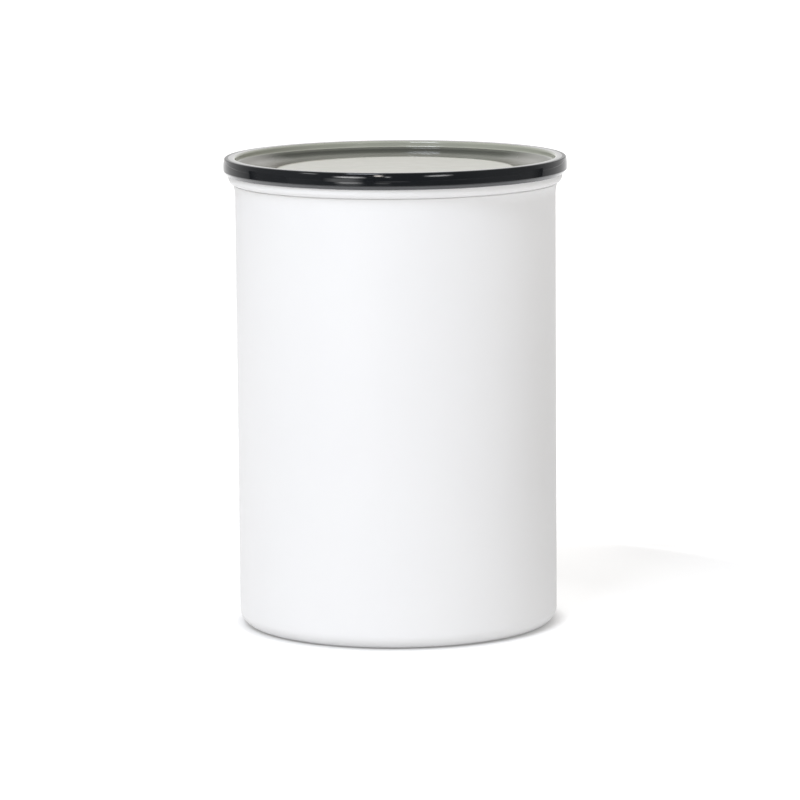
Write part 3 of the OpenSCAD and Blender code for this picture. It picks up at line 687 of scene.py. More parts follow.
@dataclass
class CanisterShell:
    """The drawn shell, coated outside and bare inside."""

    body_r: float = 60.0
    height: float = 173.4
    steel: float = 0.8
    corner_r: float = 5.5
    recess: float = 2.4
    foot_w: float = 3.3
    crease_drop: float = 6.8
    flare_h: float = 5.1
    flare_out: float = 0.75
    roll_r: float = 2.4
    neck_step: float = 2.46
    bead_r: float = 0.6
    groove: float = 0.45
    groove_h: float = 0.7

    def __post_init__(self) -> None:
        """Works out the circles of the flare and the neck's roll."""
        self.bend = self.recess / 2
        self.panel_r = self.body_r - self.corner_r - self.foot_w - self.bend
        self.crease_z = self.height - self.crease_drop
        self.flare_z = self.crease_z - self.flare_h
        self.flare_r = (self.flare_h**2 + self.flare_out**2) / (2 * self.flare_out)
        self.neck_r = self.body_r + self.neck_step
        self.roll_c = self.neck_r - self.roll_r
        self.crease_r = self.body_r + self.flare_out
        self.roll_z = self.crease_z + math.sqrt(self.roll_r**2 - (self.crease_r - self.roll_c) ** 2)
        self.bead_z = self.height - self.bead_r
        self.bead_end = 180 + math.degrees(math.acos((self.steel - self.bead_r) / self.bead_r))

    def coated_side(self) -> Profile:
        """Line from the middle of the base round the outside and over the curled rim."""
        half = self.groove_h / 2
        flare_end = math.degrees(math.asin((self.flare_h - half) / self.flare_r))
        crease_a = math.degrees(math.asin((self.crease_z + half - self.roll_z) / self.roll_r))
        foot_r = self.body_r - self.corner_r
        line = Profile((0.0, self.recess)).to(self.panel_r - self.bend, self.recess, 12)
        line.arc((self.panel_r - self.bend, self.bend), self.bend, 90, 0, 6)
        line.arc((self.panel_r + self.bend, self.bend), self.bend, 180, 270, 6)
        line.to(foot_r, 0.0, 3)
        line.arc((foot_r, self.corner_r), self.corner_r, -90, 0, 14)
        line.to(self.body_r, self.flare_z, 24)
        line.arc((self.body_r + self.flare_r, self.flare_z), self.flare_r, 180, 180 - flare_end, 12)
        line.to(self.crease_r - self.groove, self.crease_z, 1)
        line.arc((self.roll_c, self.roll_z), self.roll_r, crease_a, 0, 14)
        line.to(self.neck_r, self.bead_z, 2)
        return line.arc((self.neck_r - self.bead_r, self.bead_z), self.bead_r, 0, self.bead_end, 18)

    def bare_side(self) -> Profile:
        """Line from under the curled rim down the inside to the middle of the base."""
        t = self.steel
        foot_r = self.body_r - self.corner_r
        flare_c = (self.body_r + self.flare_r, self.flare_z)
        meet = self.roll_meets_flare()
        meet_r = self.roll_c + (self.roll_r - t) * math.cos(math.radians(meet))
        meet_z = self.roll_z + (self.roll_r - t) * math.sin(math.radians(meet))
        meet_a = math.degrees(math.atan2(meet_z - self.flare_z, meet_r - flare_c[0]))
        bead_a = math.radians(self.bead_end)
        rim = (self.neck_r - self.bead_r + self.bead_r * math.cos(bead_a), self.bead_z + self.bead_r * math.sin(bead_a))
        line = Profile(rim).to(self.neck_r - t, self.roll_z, 3)
        line.arc((self.roll_c, self.roll_z), self.roll_r - t, 0, meet, 12)
        line.arc(flare_c, self.flare_r + t, meet_a, 180, 12)
        line.to(self.body_r - t, self.corner_r, 24)
        line.arc((foot_r, self.corner_r), self.corner_r - t, 0, -90, 12)
        line.to(self.panel_r + self.bend, t, 3)
        line.arc((self.panel_r + self.bend, self.bend), self.bend - t, 270, 180, 5)
        line.arc((self.panel_r - self.bend, self.bend), self.bend + t, 0, 90, 8)
        return line.to(0.0, self.recess + t, 12)

    def roll_meets_flare(self) -> float:
        """Angle on the inside of the roll, in degrees, where the inside of the flare starts."""
        size = self.roll_r - self.steel
        for tenth in range(901):
            a = math.radians(-tenth / 10)
            r, z = self.roll_c + size * math.cos(a), self.roll_z + size * math.sin(a)
            if math.hypot(r - self.body_r - self.flare_r, z - self.flare_z) >= self.flare_r + self.steel:
                return -tenth / 10
        return -90.0

    def build(self, lathe: Lathe, finishes: Finishes) -> None:
        """Makes the shell and puts it in the node's place.

        Args:
            lathe: turns the two lines.
            finishes: the canister's finishes.
        """
        coated = lathe.turn("shell_skin", self.coated_side(), finishes.coat, 384, closed=False)
        bare = lathe.turn("shell_inside", self.bare_side(), finishes.inside, 384, closed=False)
        piece = weld(coated, bare)
        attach(piece, "canister")
        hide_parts("canister_shell")
        LOG.info("built %s, %d faces", piece.name, len(piece.data.polygons))


@dataclass
class SmokeLid:
    """The press-on lid with its dished top."""

    top: float = 176.3
    out_r: float = 64.31
    skirt_h: float = 6.2
    lean: float = 0.3
    crown_drop: float = 3.4
    rim_round: float = 0.6
    rim_in_round: float = 0.9
    lip_h: float = 1.2
    lip_in: float = 1.15
    channel_out_r: float = 62.76
    channel_in_r: float = 60.96
    roof_z: float = 174.8
    leg_t: float = 1.2
    leg_z: float = 168.5
    leg_step: float = 0.4
    dish_depth: float = 4.9
    floor_r: float = 44.6
    sweep_r: float = 66.0
    slope: float = 2.0
    step: float = 0.3
    fillet: float = 0.8
    thickness: float = 2.0
    edge: float = 0.25
    backed_z: float = 174.0
    edge_r: float = 62.4

    def outline(self) -> Profile:
        """Closed outline of the lid: skirt, rim, dish, underside, leg and gasket channel."""
        wall_r = self.channel_in_r - self.leg_t
        floor_z = self.top - self.dish_depth
        skirt_z = self.top - self.skirt_h
        drop = self.crown_drop - self.rim_round
        crown_r = (drop**2 + self.lean**2) / (2 * self.lean)
        crown_c = (self.out_r - crown_r, self.top - self.crown_drop)
        rim_c = (crown_c[0] + math.sqrt((crown_r - self.rim_round) ** 2 - drop**2), self.top - self.rim_round)
        tilt = math.degrees(math.asin(drop / (crown_r - self.rim_round)))
        slope = math.radians(self.slope)
        sweep_c = (self.floor_r - self.sweep_r * math.sin(slope), floor_z + self.step + self.sweep_r * math.cos(slope))
        fillet_c = wall_r - self.fillet
        fillet_z = sweep_c[1] - math.sqrt((self.sweep_r - self.fillet) ** 2 - (fillet_c - sweep_c[0]) ** 2)
        fillet_a = math.degrees(math.atan2(fillet_z - sweep_c[1], fillet_c - sweep_c[0]))
        e = self.edge
        line = Profile((self.channel_out_r, skirt_z + e)).arc((self.channel_out_r + e, skirt_z + e), e, 180, 270, 4)
        line.to(self.out_r - self.lip_in - e, skirt_z, 1)
        line.arc((self.out_r - self.lip_in - e, skirt_z + e), e, 270, 325, 4)
        line.to(self.out_r - 0.27, skirt_z + self.lip_h, 2)
        line.to(self.out_r - 0.04, skirt_z + self.lip_h + 0.35, 2).to(self.out_r, crown_c[1], 2)
        line.arc(crown_c, crown_r, 0, tilt, 14).arc(rim_c, self.rim_round, tilt, 90, 12)
        line.to(wall_r + self.rim_in_round, self.top, 3)
        line.arc((wall_r + self.rim_in_round, self.top - self.rim_in_round), self.rim_in_round, 90, 180, 12)
        line.to(wall_r, self.backed_z, 2).to(wall_r, fillet_z, 2)
        line.arc((fillet_c, fillet_z), self.fillet, 0, fillet_a, 8)
        line.arc(sweep_c, self.sweep_r, fillet_a, self.slope - 90, 24)
        line.to(self.floor_r, floor_z + 0.06, 1).to(self.floor_r - 0.06, floor_z, 1)
        line.to(0.0, floor_z, 10)
        under = floor_z - self.thickness
        line.to(0.0, under, 1).to(self.floor_r, under, 10)
        under_r = self.sweep_r + self.thickness
        leg_r = wall_r - self.leg_step
        start = math.degrees(math.atan2(-math.sqrt(under_r**2 - (self.floor_r - sweep_c[0]) ** 2), self.floor_r - sweep_c[0]))
        end = math.degrees(math.atan2(-math.sqrt(under_r**2 - (leg_r - sweep_c[0]) ** 2), leg_r - sweep_c[0]))
        line.arc(sweep_c, under_r, start, end, 14)
        line.to(leg_r, self.leg_z + e, 2)
        line.arc((leg_r + e, self.leg_z + e), e, 180, 270, 4)
        line.arc((self.channel_in_r - e, self.leg_z + e), e, 270, 360, 4)
        line.to(self.channel_in_r, self.roof_z, 3)
        return line.to(self.channel_out_r, self.roof_z, 2)

    def gasket(self) -> Profile:
        """Closed outline of the soft ring in the lid's channel, with a groove over the shell's rim."""
        low, high, gap = 173.25, self.roof_z, 0.05
        inner, outer = self.channel_in_r + gap, self.channel_out_r - gap
        rim_c, rim_z, grip = 61.86, 172.8, 0.8
        side = math.degrees(math.asin((low - rim_z) / grip))
        line = Profile((inner, low)).arc((rim_c, rim_z), grip, 180 - side, side, 16)
        return line.to(outer, low, 1).to(outer, high - 0.15, 2).to(outer - 0.15, high, 1).to(inner + 0.15, high, 2).to(inner, high - 0.15, 1)

    def build(self, lathe: Lathe, finishes: Finishes) -> None:
        """Makes the lid and its gasket.

        Args:
            lathe: turns the outlines.
            finishes: the canister's finishes.
        """
        piece = lathe.turn("smoke_lid", self.outline(), finishes.smoke, 384)
        floor_z = self.top - self.dish_depth
        wall_r = self.channel_in_r - self.leg_t
        rim_r = self.out_r - self.lean - self.rim_round - 0.15
        # The dish zone gets the painted reflections and painted see-through light.
        paint_where(piece, finishes.dish, lambda r, z: z > floor_z and r > self.floor_r and r < rim_r and (z > self.top - 0.3 or r < wall_r + 0.02))
        # Flat top of the rim: painted shade, with its reflection turned almost off.
        paint_where(piece, finishes.land_painted_shade, lambda r, z: z > self.top - 0.25 and self.edge_r < r < self.out_r)
        # Inner face of the rim above the gasket: painted backlight.
        paint_where(piece, finishes.painted_backlit_wall, lambda r, z: z > self.backed_z and abs(r - wall_r) < self.rim_in_round and z < self.top - 0.08)
        # Floor disc: frosted, with painted see-through light.
        paint_where(piece, finishes.frosted_painted_light, lambda r, z: r < self.floor_r and z > floor_z - 0.5 * self.thickness)
        # Skirt's bottom edge: lighter copy of the smoke plastic, painted light.
        paint_where(piece, finishes.lip_painted_light, lambda r, z: r > self.channel_out_r and z < self.top - self.skirt_h + self.lip_h)
        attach(piece, "outer_lid")
        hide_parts("outer_lid")
        LOG.info("built %s, %d faces", piece.name, len(piece.data.polygons))
        ring = lathe.turn("lid_seal_ring", self.gasket(), finishes.black, 256)
        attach(ring, "outer_lid")
        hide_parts("lid_gasket")
        LOG.info("built %s, %d faces", ring.name, len(ring.data.polygons))


@dataclass(frozen=True)
class Screw:
    """A screw with a six-lobed drive, as rings of points round its own axis.

    The rings are radii and heights in millimetres, from the shaft's end to the
    edge of the head's face; the drive is sunk in that face.
    """

    rings: tuple[tuple[float, float], ...]
    drive_r: float
    drive_depth: float
    lobes: int = 6
    wave: float = 0.17
    points: int = 48

    def item(self, name: str) -> bpy.types.Object:
        """Builds one screw.

        Args:
            name: name of its object.

        Returns:
            The object, with its axis on the vertical axis.
        """
        face_z = self.rings[-1][1]
        inward = -self.drive_depth if face_z > self.rings[0][1] else self.drive_depth
        work = bmesh.new()
        first = self.ring(work, self.rings[0][0], self.rings[0][1], 0.0)
        loops = [first] + [self.ring(work, r, z, 0.0) for r, z in self.rings[1:]]
        loops.append(self.ring(work, self.drive_r, face_z, self.wave))
        loops.append(self.ring(work, 0.92 * self.drive_r, face_z + inward, self.wave))
        for low, high in zip(loops, loops[1:]):
            for i in range(self.points):
                j = (i + 1) % self.points
                work.faces.new((low[i], low[j], high[j], high[i]))
        work.faces.new(loops[0])
        work.faces.new(loops[-1])
        bmesh.ops.recalc_face_normals(work, faces=work.faces)
        mesh = bpy.data.meshes.new(name)
        work.to_mesh(mesh)
        work.free()
        return bpy.data.objects.new(name, mesh)

    def ring(self, work: bmesh.types.BMesh, radius: float, height: float, wave: float) -> list[bmesh.types.BMVert]:
        """Adds one ring of points.

        Args:
            work: mesh that it is added to.
            radius: mean radius in millimetres.
            height: height in millimetres.
            wave: how far the lobes reach out and in, as a share of the radius.

        Returns:
            The new points.
        """
        turns = [2 * math.pi * i / self.points for i in range(self.points)]
        sizes = [radius * (1 + wave * math.cos(self.lobes * turn)) * MM for turn in turns]
        return [work.verts.new((r * math.cos(turn), r * math.sin(turn), height * MM)) for r, turn in zip(sizes, turns)]


class CopyRing:
    """Sets copies of one item in a ring or along an arc with Geometry Nodes."""

    def __init__(self) -> None:
        """Builds the node tree once, for every ring."""
        tree = bpy.data.node_groups.new("copy_ring", "GeometryNodeTree")
        face = tree.interface
        sockets = {"Item": "Geometry", "Count": "Int", "Radius": "Float", "Start": "Float", "Step": "Float", "Centre": "Vector", "Loose": "Float", "Seed": "Int", "Finish": "Material"}
        for name, kind in sockets.items():
            face.new_socket(name, in_out="INPUT", socket_type="NodeSocket" + kind)
        face.new_socket("Copies", in_out="OUTPUT", socket_type="NodeSocketGeometry")
        new, link = tree.nodes.new, tree.links.new
        source, sink = new("NodeGroupInput"), new("NodeGroupOutput")
        index, spots, place = new("GeometryNodeInputIndex"), new("GeometryNodePoints"), new("GeometryNodeInstanceOnPoints")
        angle, cosine, sine = new("ShaderNodeMath"), new("ShaderNodeMath"), new("ShaderNodeMath")
        angle.operation, cosine.operation, sine.operation = "MULTIPLY_ADD", "COSINE", "SINE"
        link(index.outputs["Index"], angle.inputs[0])
        link(source.outputs["Step"], angle.inputs[1])
        link(source.outputs["Start"], angle.inputs[2])
        link(angle.outputs["Value"], cosine.inputs[0])
        link(angle.outputs["Value"], sine.inputs[0])
        outward, reach, spot = new("ShaderNodeCombineXYZ"), new("ShaderNodeVectorMath"), new("ShaderNodeVectorMath")
        reach.operation, spot.operation = "SCALE", "ADD"
        link(cosine.outputs["Value"], outward.inputs["X"])
        link(sine.outputs["Value"], outward.inputs["Y"])
        link(outward.outputs["Vector"], reach.inputs[0])
        link(source.outputs["Radius"], reach.inputs["Scale"])
        link(reach.outputs["Vector"], spot.inputs[0])
        link(source.outputs["Centre"], spot.inputs[1])
        link(source.outputs["Count"], spots.inputs["Count"])
        link(spot.outputs["Vector"], spots.inputs["Position"])
        chance, sum_of, turn = new("FunctionNodeRandomValue"), new("ShaderNodeMath"), new("ShaderNodeCombineXYZ")
        chance.data_type, sum_of.operation = "FLOAT", "MULTIPLY_ADD"
        link(source.outputs["Seed"], chance.inputs["Seed"])
        link(next(socket for socket in chance.outputs if socket.type == "VALUE"), sum_of.inputs[0])
        link(source.outputs["Loose"], sum_of.inputs[1])
        link(angle.outputs["Value"], sum_of.inputs[2])
        link(sum_of.outputs["Value"], turn.inputs["Z"])
        realize, paint = new("GeometryNodeRealizeInstances"), new("GeometryNodeSetMaterial")
        link(spots.outputs["Points"], place.inputs["Points"])
        link(source.outputs["Item"], place.inputs["Instance"])
        link(turn.outputs["Vector"], place.inputs["Rotation"])
        link(place.outputs["Instances"], realize.inputs["Geometry"])
        link(realize.outputs["Geometry"], paint.inputs["Geometry"])
        link(source.outputs["Finish"], paint.inputs["Material"])
        link(paint.outputs["Geometry"], sink.inputs["Copies"])
        self.tree = tree

    def copies(self, item: bpy.types.Object, finish: bpy.types.Material, **inputs: object) -> bpy.types.Object:
        """Replaces an item by its copies.

        Args:
            item: the item, which becomes the ring of copies.
            finish: material of the copies.
            inputs: values of the tree's named inputs.

        Returns:
            The finished piece.
        """
        bpy.context.scene.collection.objects.link(item)
        return bake(item, self.tree, {"Finish": finish, **inputs}, finish)


class Wire:
    """Makes round wire along a path with Geometry Nodes."""

    def __init__(self) -> None:
        """Builds the node tree."""
        tree = bpy.data.node_groups.new("wire", "GeometryNodeTree")
        face = tree.interface
        for name, kind in {"Path": "Geometry", "Radius": "Float", "Sides": "Int", "Finish": "Material"}.items():
            face.new_socket(name, in_out="INPUT", socket_type="NodeSocket" + kind)
        face.new_socket("Drawn", in_out="OUTPUT", socket_type="NodeSocketGeometry")
        new, link = tree.nodes.new, tree.links.new
        source, sink = new("NodeGroupInput"), new("NodeGroupOutput")
        line, circle, sweep = new("GeometryNodeMeshToCurve"), new("GeometryNodeCurvePrimitiveCircle"), new("GeometryNodeCurveToMesh")
        realize, paint = new("GeometryNodeRealizeInstances"), new("GeometryNodeSetMaterial")
        sweep.inputs["Fill Caps"].default_value = True
        link(source.outputs["Path"], line.inputs["Mesh"])
        link(source.outputs["Sides"], circle.inputs["Resolution"])
        link(source.outputs["Radius"], circle.inputs["Radius"])
        link(line.outputs["Curve"], sweep.inputs["Curve"])
        link(circle.outputs["Curve"], sweep.inputs["Profile Curve"])
        link(sweep.outputs["Mesh"], realize.inputs["Geometry"])
        link(realize.outputs["Geometry"], paint.inputs["Geometry"])
        link(source.outputs["Finish"], paint.inputs["Material"])
        link(paint.outputs["Geometry"], sink.inputs["Drawn"])
        self.tree = tree

    def draw(self, name: str, path: list[Vector], radius: float, finish: bpy.types.Material) -> bpy.types.Object:
        """Draws the wire.

        Args:
            name: name of the piece.
            path: its middle line in metres.
            radius: its radius in metres.
            finish: its material.

        Returns:
            The finished piece.
        """
        mesh = bpy.data.meshes.new(name)
        mesh.from_pydata(path, [(i, i + 1) for i in range(len(path) - 1)], [])
        piece = bpy.data.objects.new(name, mesh)
        bpy.context.scene.collection.objects.link(piece)
        return bake(piece, self.tree, {"Radius": radius, "Sides": 20, "Finish": finish}, finish, Shading.SMOOTH)


@dataclass
class InnerLid:
    """The sliding inner lid with its wiper, valve and folding handle.

    Heights are measured from the top of its plate.
    """

    plate_z: float = 116.35
    wiper_r: float = 58.9
    band_r: float = 55.7
    band_t: float = 1.6
    band_z: float = -2.4
    flange_in_r: float = 51.05
    flange_z: float = -11.6
    flange_t: float = 1.2
    lip_rise: float = 1.9
    lip_root: float = 1.6
    lip_tip: float = 0.35
    lip_roots: tuple[float, float] = (-3.6, -9.8)
    lip_sides: tuple[float, float] = (53.0, 120.0)
    edge: float = 0.2
    coil_r: float = 5.5
    wire_r: float = 0.45
    coil_low: float = -0.2
    coil_high: float = 7.0
    coil_turns: int = 4
    closed_turns: float = 0.8
    spring_top: float = 7.5
    spring_keep: float = 0.695
    cover_screws: Screw = Screw(((1.1, -5.4), (1.2, -5.3), (1.2, 1.8), (2.3, 1.8), (2.3, 2.6), (1.95, 2.95), (1.5, 3.2)), 0.85, 0.9)
    cover_ring: tuple[int, float, float] = (4, 21.4, 45.0)
    retainer_screws: Screw = Screw(((1.2, -4.4), (1.3, -4.5), (1.3, -12.0), (2.8, -13.35), (2.72, -13.4)), 1.05, 0.8)
    retainer_ring: tuple[int, float, float] = (6, 48.85, 0.0)
    grip_r: float = 35.2
    grip_y: float = 3.0
    grip_z: float = 5.35
    grip_size: tuple[float, float] = (9.0, 5.0)
    grip_round: float = 2.0
    rib_count: int = 21
    rib_step: float = 3.2
    rib_t: float = 0.9
    rib_h: float = 0.2

    def wiper(self) -> Profile:
        """Closed outline of the soft wiper: band, clamped flange and two lips that bend away from each other."""
        e, inner_r = self.edge, self.band_r - self.band_t
        low, high = self.lip_sides
        tip_r, half = self.wiper_r - self.lip_tip, self.lip_root / 2
        upper, lower = self.lip_roots
        line = Profile((inner_r, self.band_z - e)).arc((inner_r + e, self.band_z - e), e, 180, 90, 4)
        line.arc((self.band_r - e, self.band_z - e), e, 90, 0, 4).to(self.band_r, upper + half, 1)
        line.arc((tip_r, upper + self.lip_rise), self.lip_tip, high, -low, 14)
        line.to(self.band_r + 0.1, upper - half + 0.05, 6).to(self.band_r, upper - half - 0.1, 1)
        line.to(self.band_r, lower + half + 0.1, 4).to(self.band_r + 0.1, lower + half - 0.05, 1)
        line.arc((tip_r, lower - self.lip_rise), self.lip_tip, low, -high, 14)
        line.to(self.band_r, lower - half, 6)
        line.arc((self.band_r - e, self.flange_z + e), e, 0, -90, 4)
        line.arc((self.flange_in_r + e, self.flange_z + e), e, 270, 180, 4)
        top = self.flange_z + self.flange_t
        line.arc((self.flange_in_r + e, top - e), e, 180, 90, 4)
        return line.to(inner_r, top, 3)

    def coil(self) -> list[Vector]:
        """Middle line of the spring, with its end turns closed, in metres."""
        steps = 40 * self.coil_turns
        closed = 2 * self.wire_r * 1.04 * self.closed_turns
        free_turns = self.coil_turns - 2 * self.closed_turns
        free = self.coil_high - self.coil_low - 2 * closed
        points = []
        for i in range(steps + 1):
            turns = self.coil_turns * i / steps
            share = min(max((turns - self.closed_turns) / free_turns, 0.0), 1.0)
            ends = min(turns, self.closed_turns) + max(turns - self.coil_turns + self.closed_turns, 0.0)
            z = self.coil_low + closed / self.closed_turns * ends + free * share
            a = 2 * math.pi * turns
            points.append(Vector((self.coil_r * math.cos(a), self.coil_r * math.sin(a), self.plate_z + z)) * MM)
        return points

    def rib(self) -> bpy.types.Object:
        """One low rib round the grip, standing on its arc's first place."""
        rings = ((-0.5, -0.1), (-0.3, self.rib_h), (0.3, self.rib_h), (0.5, -0.1))
        half_w, half_t = self.grip_size[0] / 2, self.grip_size[1] / 2
        work = bmesh.new()
        loops = []
        for along, out in rings:
            loop = []
            size = self.grip_round + out
            for corner, (sx, sz) in enumerate(((1, 1), (-1, 1), (-1, -1), (1, -1))):
                for i in range(7):
                    a = math.radians(90 * corner + 15 * i)
                    x = sx * (half_w - self.grip_round) + size * math.cos(a)
                    z = sz * (half_t - self.grip_round) + size * math.sin(a)
                    loop.append(work.verts.new((x * MM, along * self.rib_t * MM, z * MM)))
            loops.append(loop)
        for low, high in zip(loops, loops[1:]):
            for i, vert in enumerate(low):
                j = (i + 1) % len(low)
                work.faces.new((vert, low[j], high[j], high[i]))
        work.faces.new(loops[0])
        work.faces.new(loops[-1])
        mesh = bpy.data.meshes.new("grip_ribs")
        work.to_mesh(mesh)
        work.free()
        return bpy.data.objects.new("grip_ribs", mesh)

    def build(self, lathe: Lathe, finishes: Finishes, nodes: dict[str, bpy.types.Object]) -> None:
        """Makes the wiper, the spring, the screws and the grip's ribs, and dresses the rest.

        Args:
            lathe: turns the wiper's outline.
            finishes: the canister's finishes.
            nodes: the frame's nodes.
        """
        wiper = lathe.turn("soft_wiper", self.wiper(), finishes.clear, 320, raised=self.plate_z * MM)
        self.put(wiper, "plunger", "plunger_wiper")
        spring = Wire().draw("coil_spring", self.coil(), self.wire_r * MM, finishes.steel)
        self.put(spring, "plunger", "valve_spring")
        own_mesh(spring)
        rings = CopyRing()
        for name, screw, ring, seed in (("cover_screws", self.cover_screws, self.cover_ring, 3), ("retainer_screws", self.retainer_screws, self.retainer_ring, 8)):
            count, radius, start = ring
            centre = (0.0, 0.0, self.plate_z * MM)
            piece = rings.copies(screw.item("lobed_" + name), finishes.steel, Count=count, Radius=radius * MM, Start=math.radians(start), Step=2 * math.pi / count, Centre=centre, Loose=math.pi, Seed=seed)
            self.put(piece, "plunger", name)
        step = math.radians(self.rib_step)
        start = math.pi / 2 - step * (self.rib_count - 1) / 2
        centre = (0.0, self.grip_y * MM, (self.plate_z + self.grip_z) * MM)
        ribs = rings.copies(self.rib(), finishes.mid, Count=self.rib_count, Radius=self.grip_r * MM, Start=start, Step=step, Centre=centre, Loose=0.0, Seed=0)
        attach(ribs, "handle")
        dress(nodes, ("plunger_plate", "wiper_retainer"), finishes.dark)
        dress(nodes, ("valve_cover", "valve_plug", "carry_handle"), finishes.mid)
        dress(nodes, ("valve_seal",), finishes.clear)
        dress(nodes, ("valve_seat",), finishes.grey)
        dress(nodes, ("lifter_bar", "lifter_nut", "grounds_screen", "screen_clip", "pivot_pin_left", "pivot_pin_right", "pivot_clips"), finishes.steel)

    def put(self, piece: bpy.types.Object, body: str, node: str) -> None:
        """Puts a finished piece in a node's place.

        Args:
            piece: the finished piece.
            body: body that it rides.
            node: the node that it replaces.
        """
        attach(piece, body)
        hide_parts(node)
        LOG.info("built %s, %d faces", piece.name, len(piece.data.polygons))


@dataclass(frozen=True)
class Card:
    """A lit card or lamp that only glossy surfaces see, or a dim one that only matt surfaces see.

    The angles are degrees round from the front, to the left below zero, and
    degrees above the canister's lid. The card fades out towards its left and
    right ends, each over its share of the width.
    """

    name: str
    sides: tuple[float, float]
    rise: tuple[float, float]
    radiance: float
    tint: tuple[float, float, float] = (1.0, 1.0, 1.0)
    away: float = 0.8
    matt: bool = False
    fade: tuple[float, float] = (0.3, 0.3)


@dataclass
class Studio:
    """Floor, light and camera as in the photograph."""

    distance: float = 1.7487
    height: float = 0.3474
    aside: float = 0.00115
    pitch: float = 0.1495
    roll: float = -0.0077
    lens: float = 211.1
    floor_half: float = 6.0
    flag_start: float = 0.38
    flag_greys: tuple[tuple[float, float], ...] = ((0.25, 0.45), (0.55, 0.45), (0.65, 0.01))
    lid_z: float = 0.174
    backdrop: tuple[tuple[float, float], ...] = ((-1.0, 0.12), (-0.8, 0.13), (-0.4, 0.3), (0.3, 0.3), (0.46, 0.44), (0.82, 0.72), (0.97, 1.0))
    floor_grey: float = 0.5
    # Floor glow by share of 1.5 m from the axis: the dark start under the foot is a painted contact shadow, the peak
    # just outside it a painted light ring.
    floor_glow_painted_shadow: tuple[tuple[float, float], ...] = ((0.0366, 0.03), (0.0378, 0.07), (0.0393, 0.28), (0.0403, 0.58), (0.045, 0.66), (0.07, 0.58), (0.13, 0.65))
    cards: tuple[Card, ...] = (
        Card("panel", (-48.0, -19.0), (-5.0, 4.6), 1.8),
        Card("panel_top", (-41.0, -18.0), (7.2, 10.8), 10.5),
        Card("panel_foot", (-40.0, -19.5), (-8.2, -5.8), 6.0),
        Card("lamp", (-14.0, -7.6), (12.5, 16.0), 17.0, (1.0, 0.94, 0.88)),
        Card("spark", (-6.6, -2.8), (9.5, 12.5), 7.0),
        Card("shelf", (-14.0, 12.0), (-4.2, -1.2), 0.75),
        Card("shelf_foot", (-14.0, -2.0), (-8.2, -6.4), 1.6),
        Card("strip", (18.0, 38.0), (10.5, 13.5), 8.5),
        Card("far_strip", (-66.0, -51.0), (13.0, 17.0), 4.0),
        Card("dark_left", (-110.5, -74.0), (-11.5, 3.0), 0.24, fade=(0.25, 0.0)),
        Card("dark_right", (86.0, 112.5), (-11.5, 3.0), 0.3, fade=(0.0, 0.5)),
        Card("black_card", (72.0, 150.0), (-43.5, -32.0), 0.0, away=0.18, matt=True, fade=(0.0, 0.0)),
    )

    def build(self) -> None:
        """Sets up the whole studio."""
        self.floor()
        self.flag()
        for card in self.cards:
            self.card(card)
        self.lights()
        self.camera()

    def floor(self) -> None:
        """A pale floor that glows like a light table, with a painted contact shadow under the canister's foot and a
        painted brighter ring just round it.
        """
        mesh = bpy.data.meshes.new("floor")
        h = self.floor_half
        mesh.from_pydata([(-h, -h, 0), (h, -h, 0), (h, h, 0), (-h, h, 0)], [], [(0, 1, 2, 3)])
        floor = bpy.data.objects.new("floor", mesh)
        bpy.context.scene.collection.objects.link(floor)
        sheet = Sheet("floor_paper")
        sheet.set(Roughness=0.6, Emission_Strength=1.0)
        sheet.feed("Base Color", sheet.ramp(sheet.noise(6.0), (self.floor_grey,) * 3, (self.floor_grey + 0.02,) * 3))
        # The glow carries the painted contact shadow and the painted light ring.
        sheet.feed("Emission Color", sheet.by_radius([(share, (glow,) * 3) for share, glow in self.floor_glow_painted_shadow], 1.5))
        mesh.materials.append(sheet.material)

    def card(self, card: Card) -> None:
        """Sets up one card.

        Args:
            card: its place and its light.
        """
        mesh = bpy.data.meshes.new(card.name)
        count = 24
        points, faces, light = [], [], []
        for i in range(count + 1):
            shares = [step / (count * fade) for step, fade in zip((i, count - i), card.fade) if fade]
            light += [min([1.0, *shares])] * 2
            a = math.radians(card.sides[0] + (card.sides[1] - card.sides[0]) * i / count)
            for rise in card.rise:
                z = self.lid_z + card.away * math.tan(math.radians(rise))
                points.append((card.away * math.sin(a), -card.away * math.cos(a), z))
            if i:
                faces.append((2 * i - 2, 2 * i - 1, 2 * i + 1, 2 * i))
        mesh.from_pydata(points, [], faces)
        mesh.attributes.new("light", "FLOAT", "POINT").data.foreach_set("value", light)
        piece = bpy.data.objects.new(card.name, mesh)
        bpy.context.scene.collection.objects.link(piece)
        sheet = Sheet(card.name + "_light")
        sheet.set(Base_Color=(0.0, 0.0, 0.0, 1.0), Roughness=1.0, Emission_Strength=card.radiance)
        share = sheet.tree.nodes.new("ShaderNodeAttribute")
        share.attribute_name = "light"
        sheet.feed("Emission Color", sheet.ramp(share.outputs["Fac"], (0.0, 0.0, 0.0), card.tint, 0.0, 1.0))
        mesh.materials.append(sheet.material)
        piece.visible_camera = piece.visible_shadow = piece.visible_transmission = False
        piece.visible_diffuse, piece.visible_glossy = card.matt, not card.matt

    def lights(self) -> None:
        """A soft light all round, with a large soft box from the front left."""
        bpy.context.scene.world = self.room()
        bpy.context.scene.view_settings.view_transform = "Standard"
        self.soft_box("key", 27.0, 50.0, 2.2, 0.7, 30.0, (0.86, 0.91, 1.0))

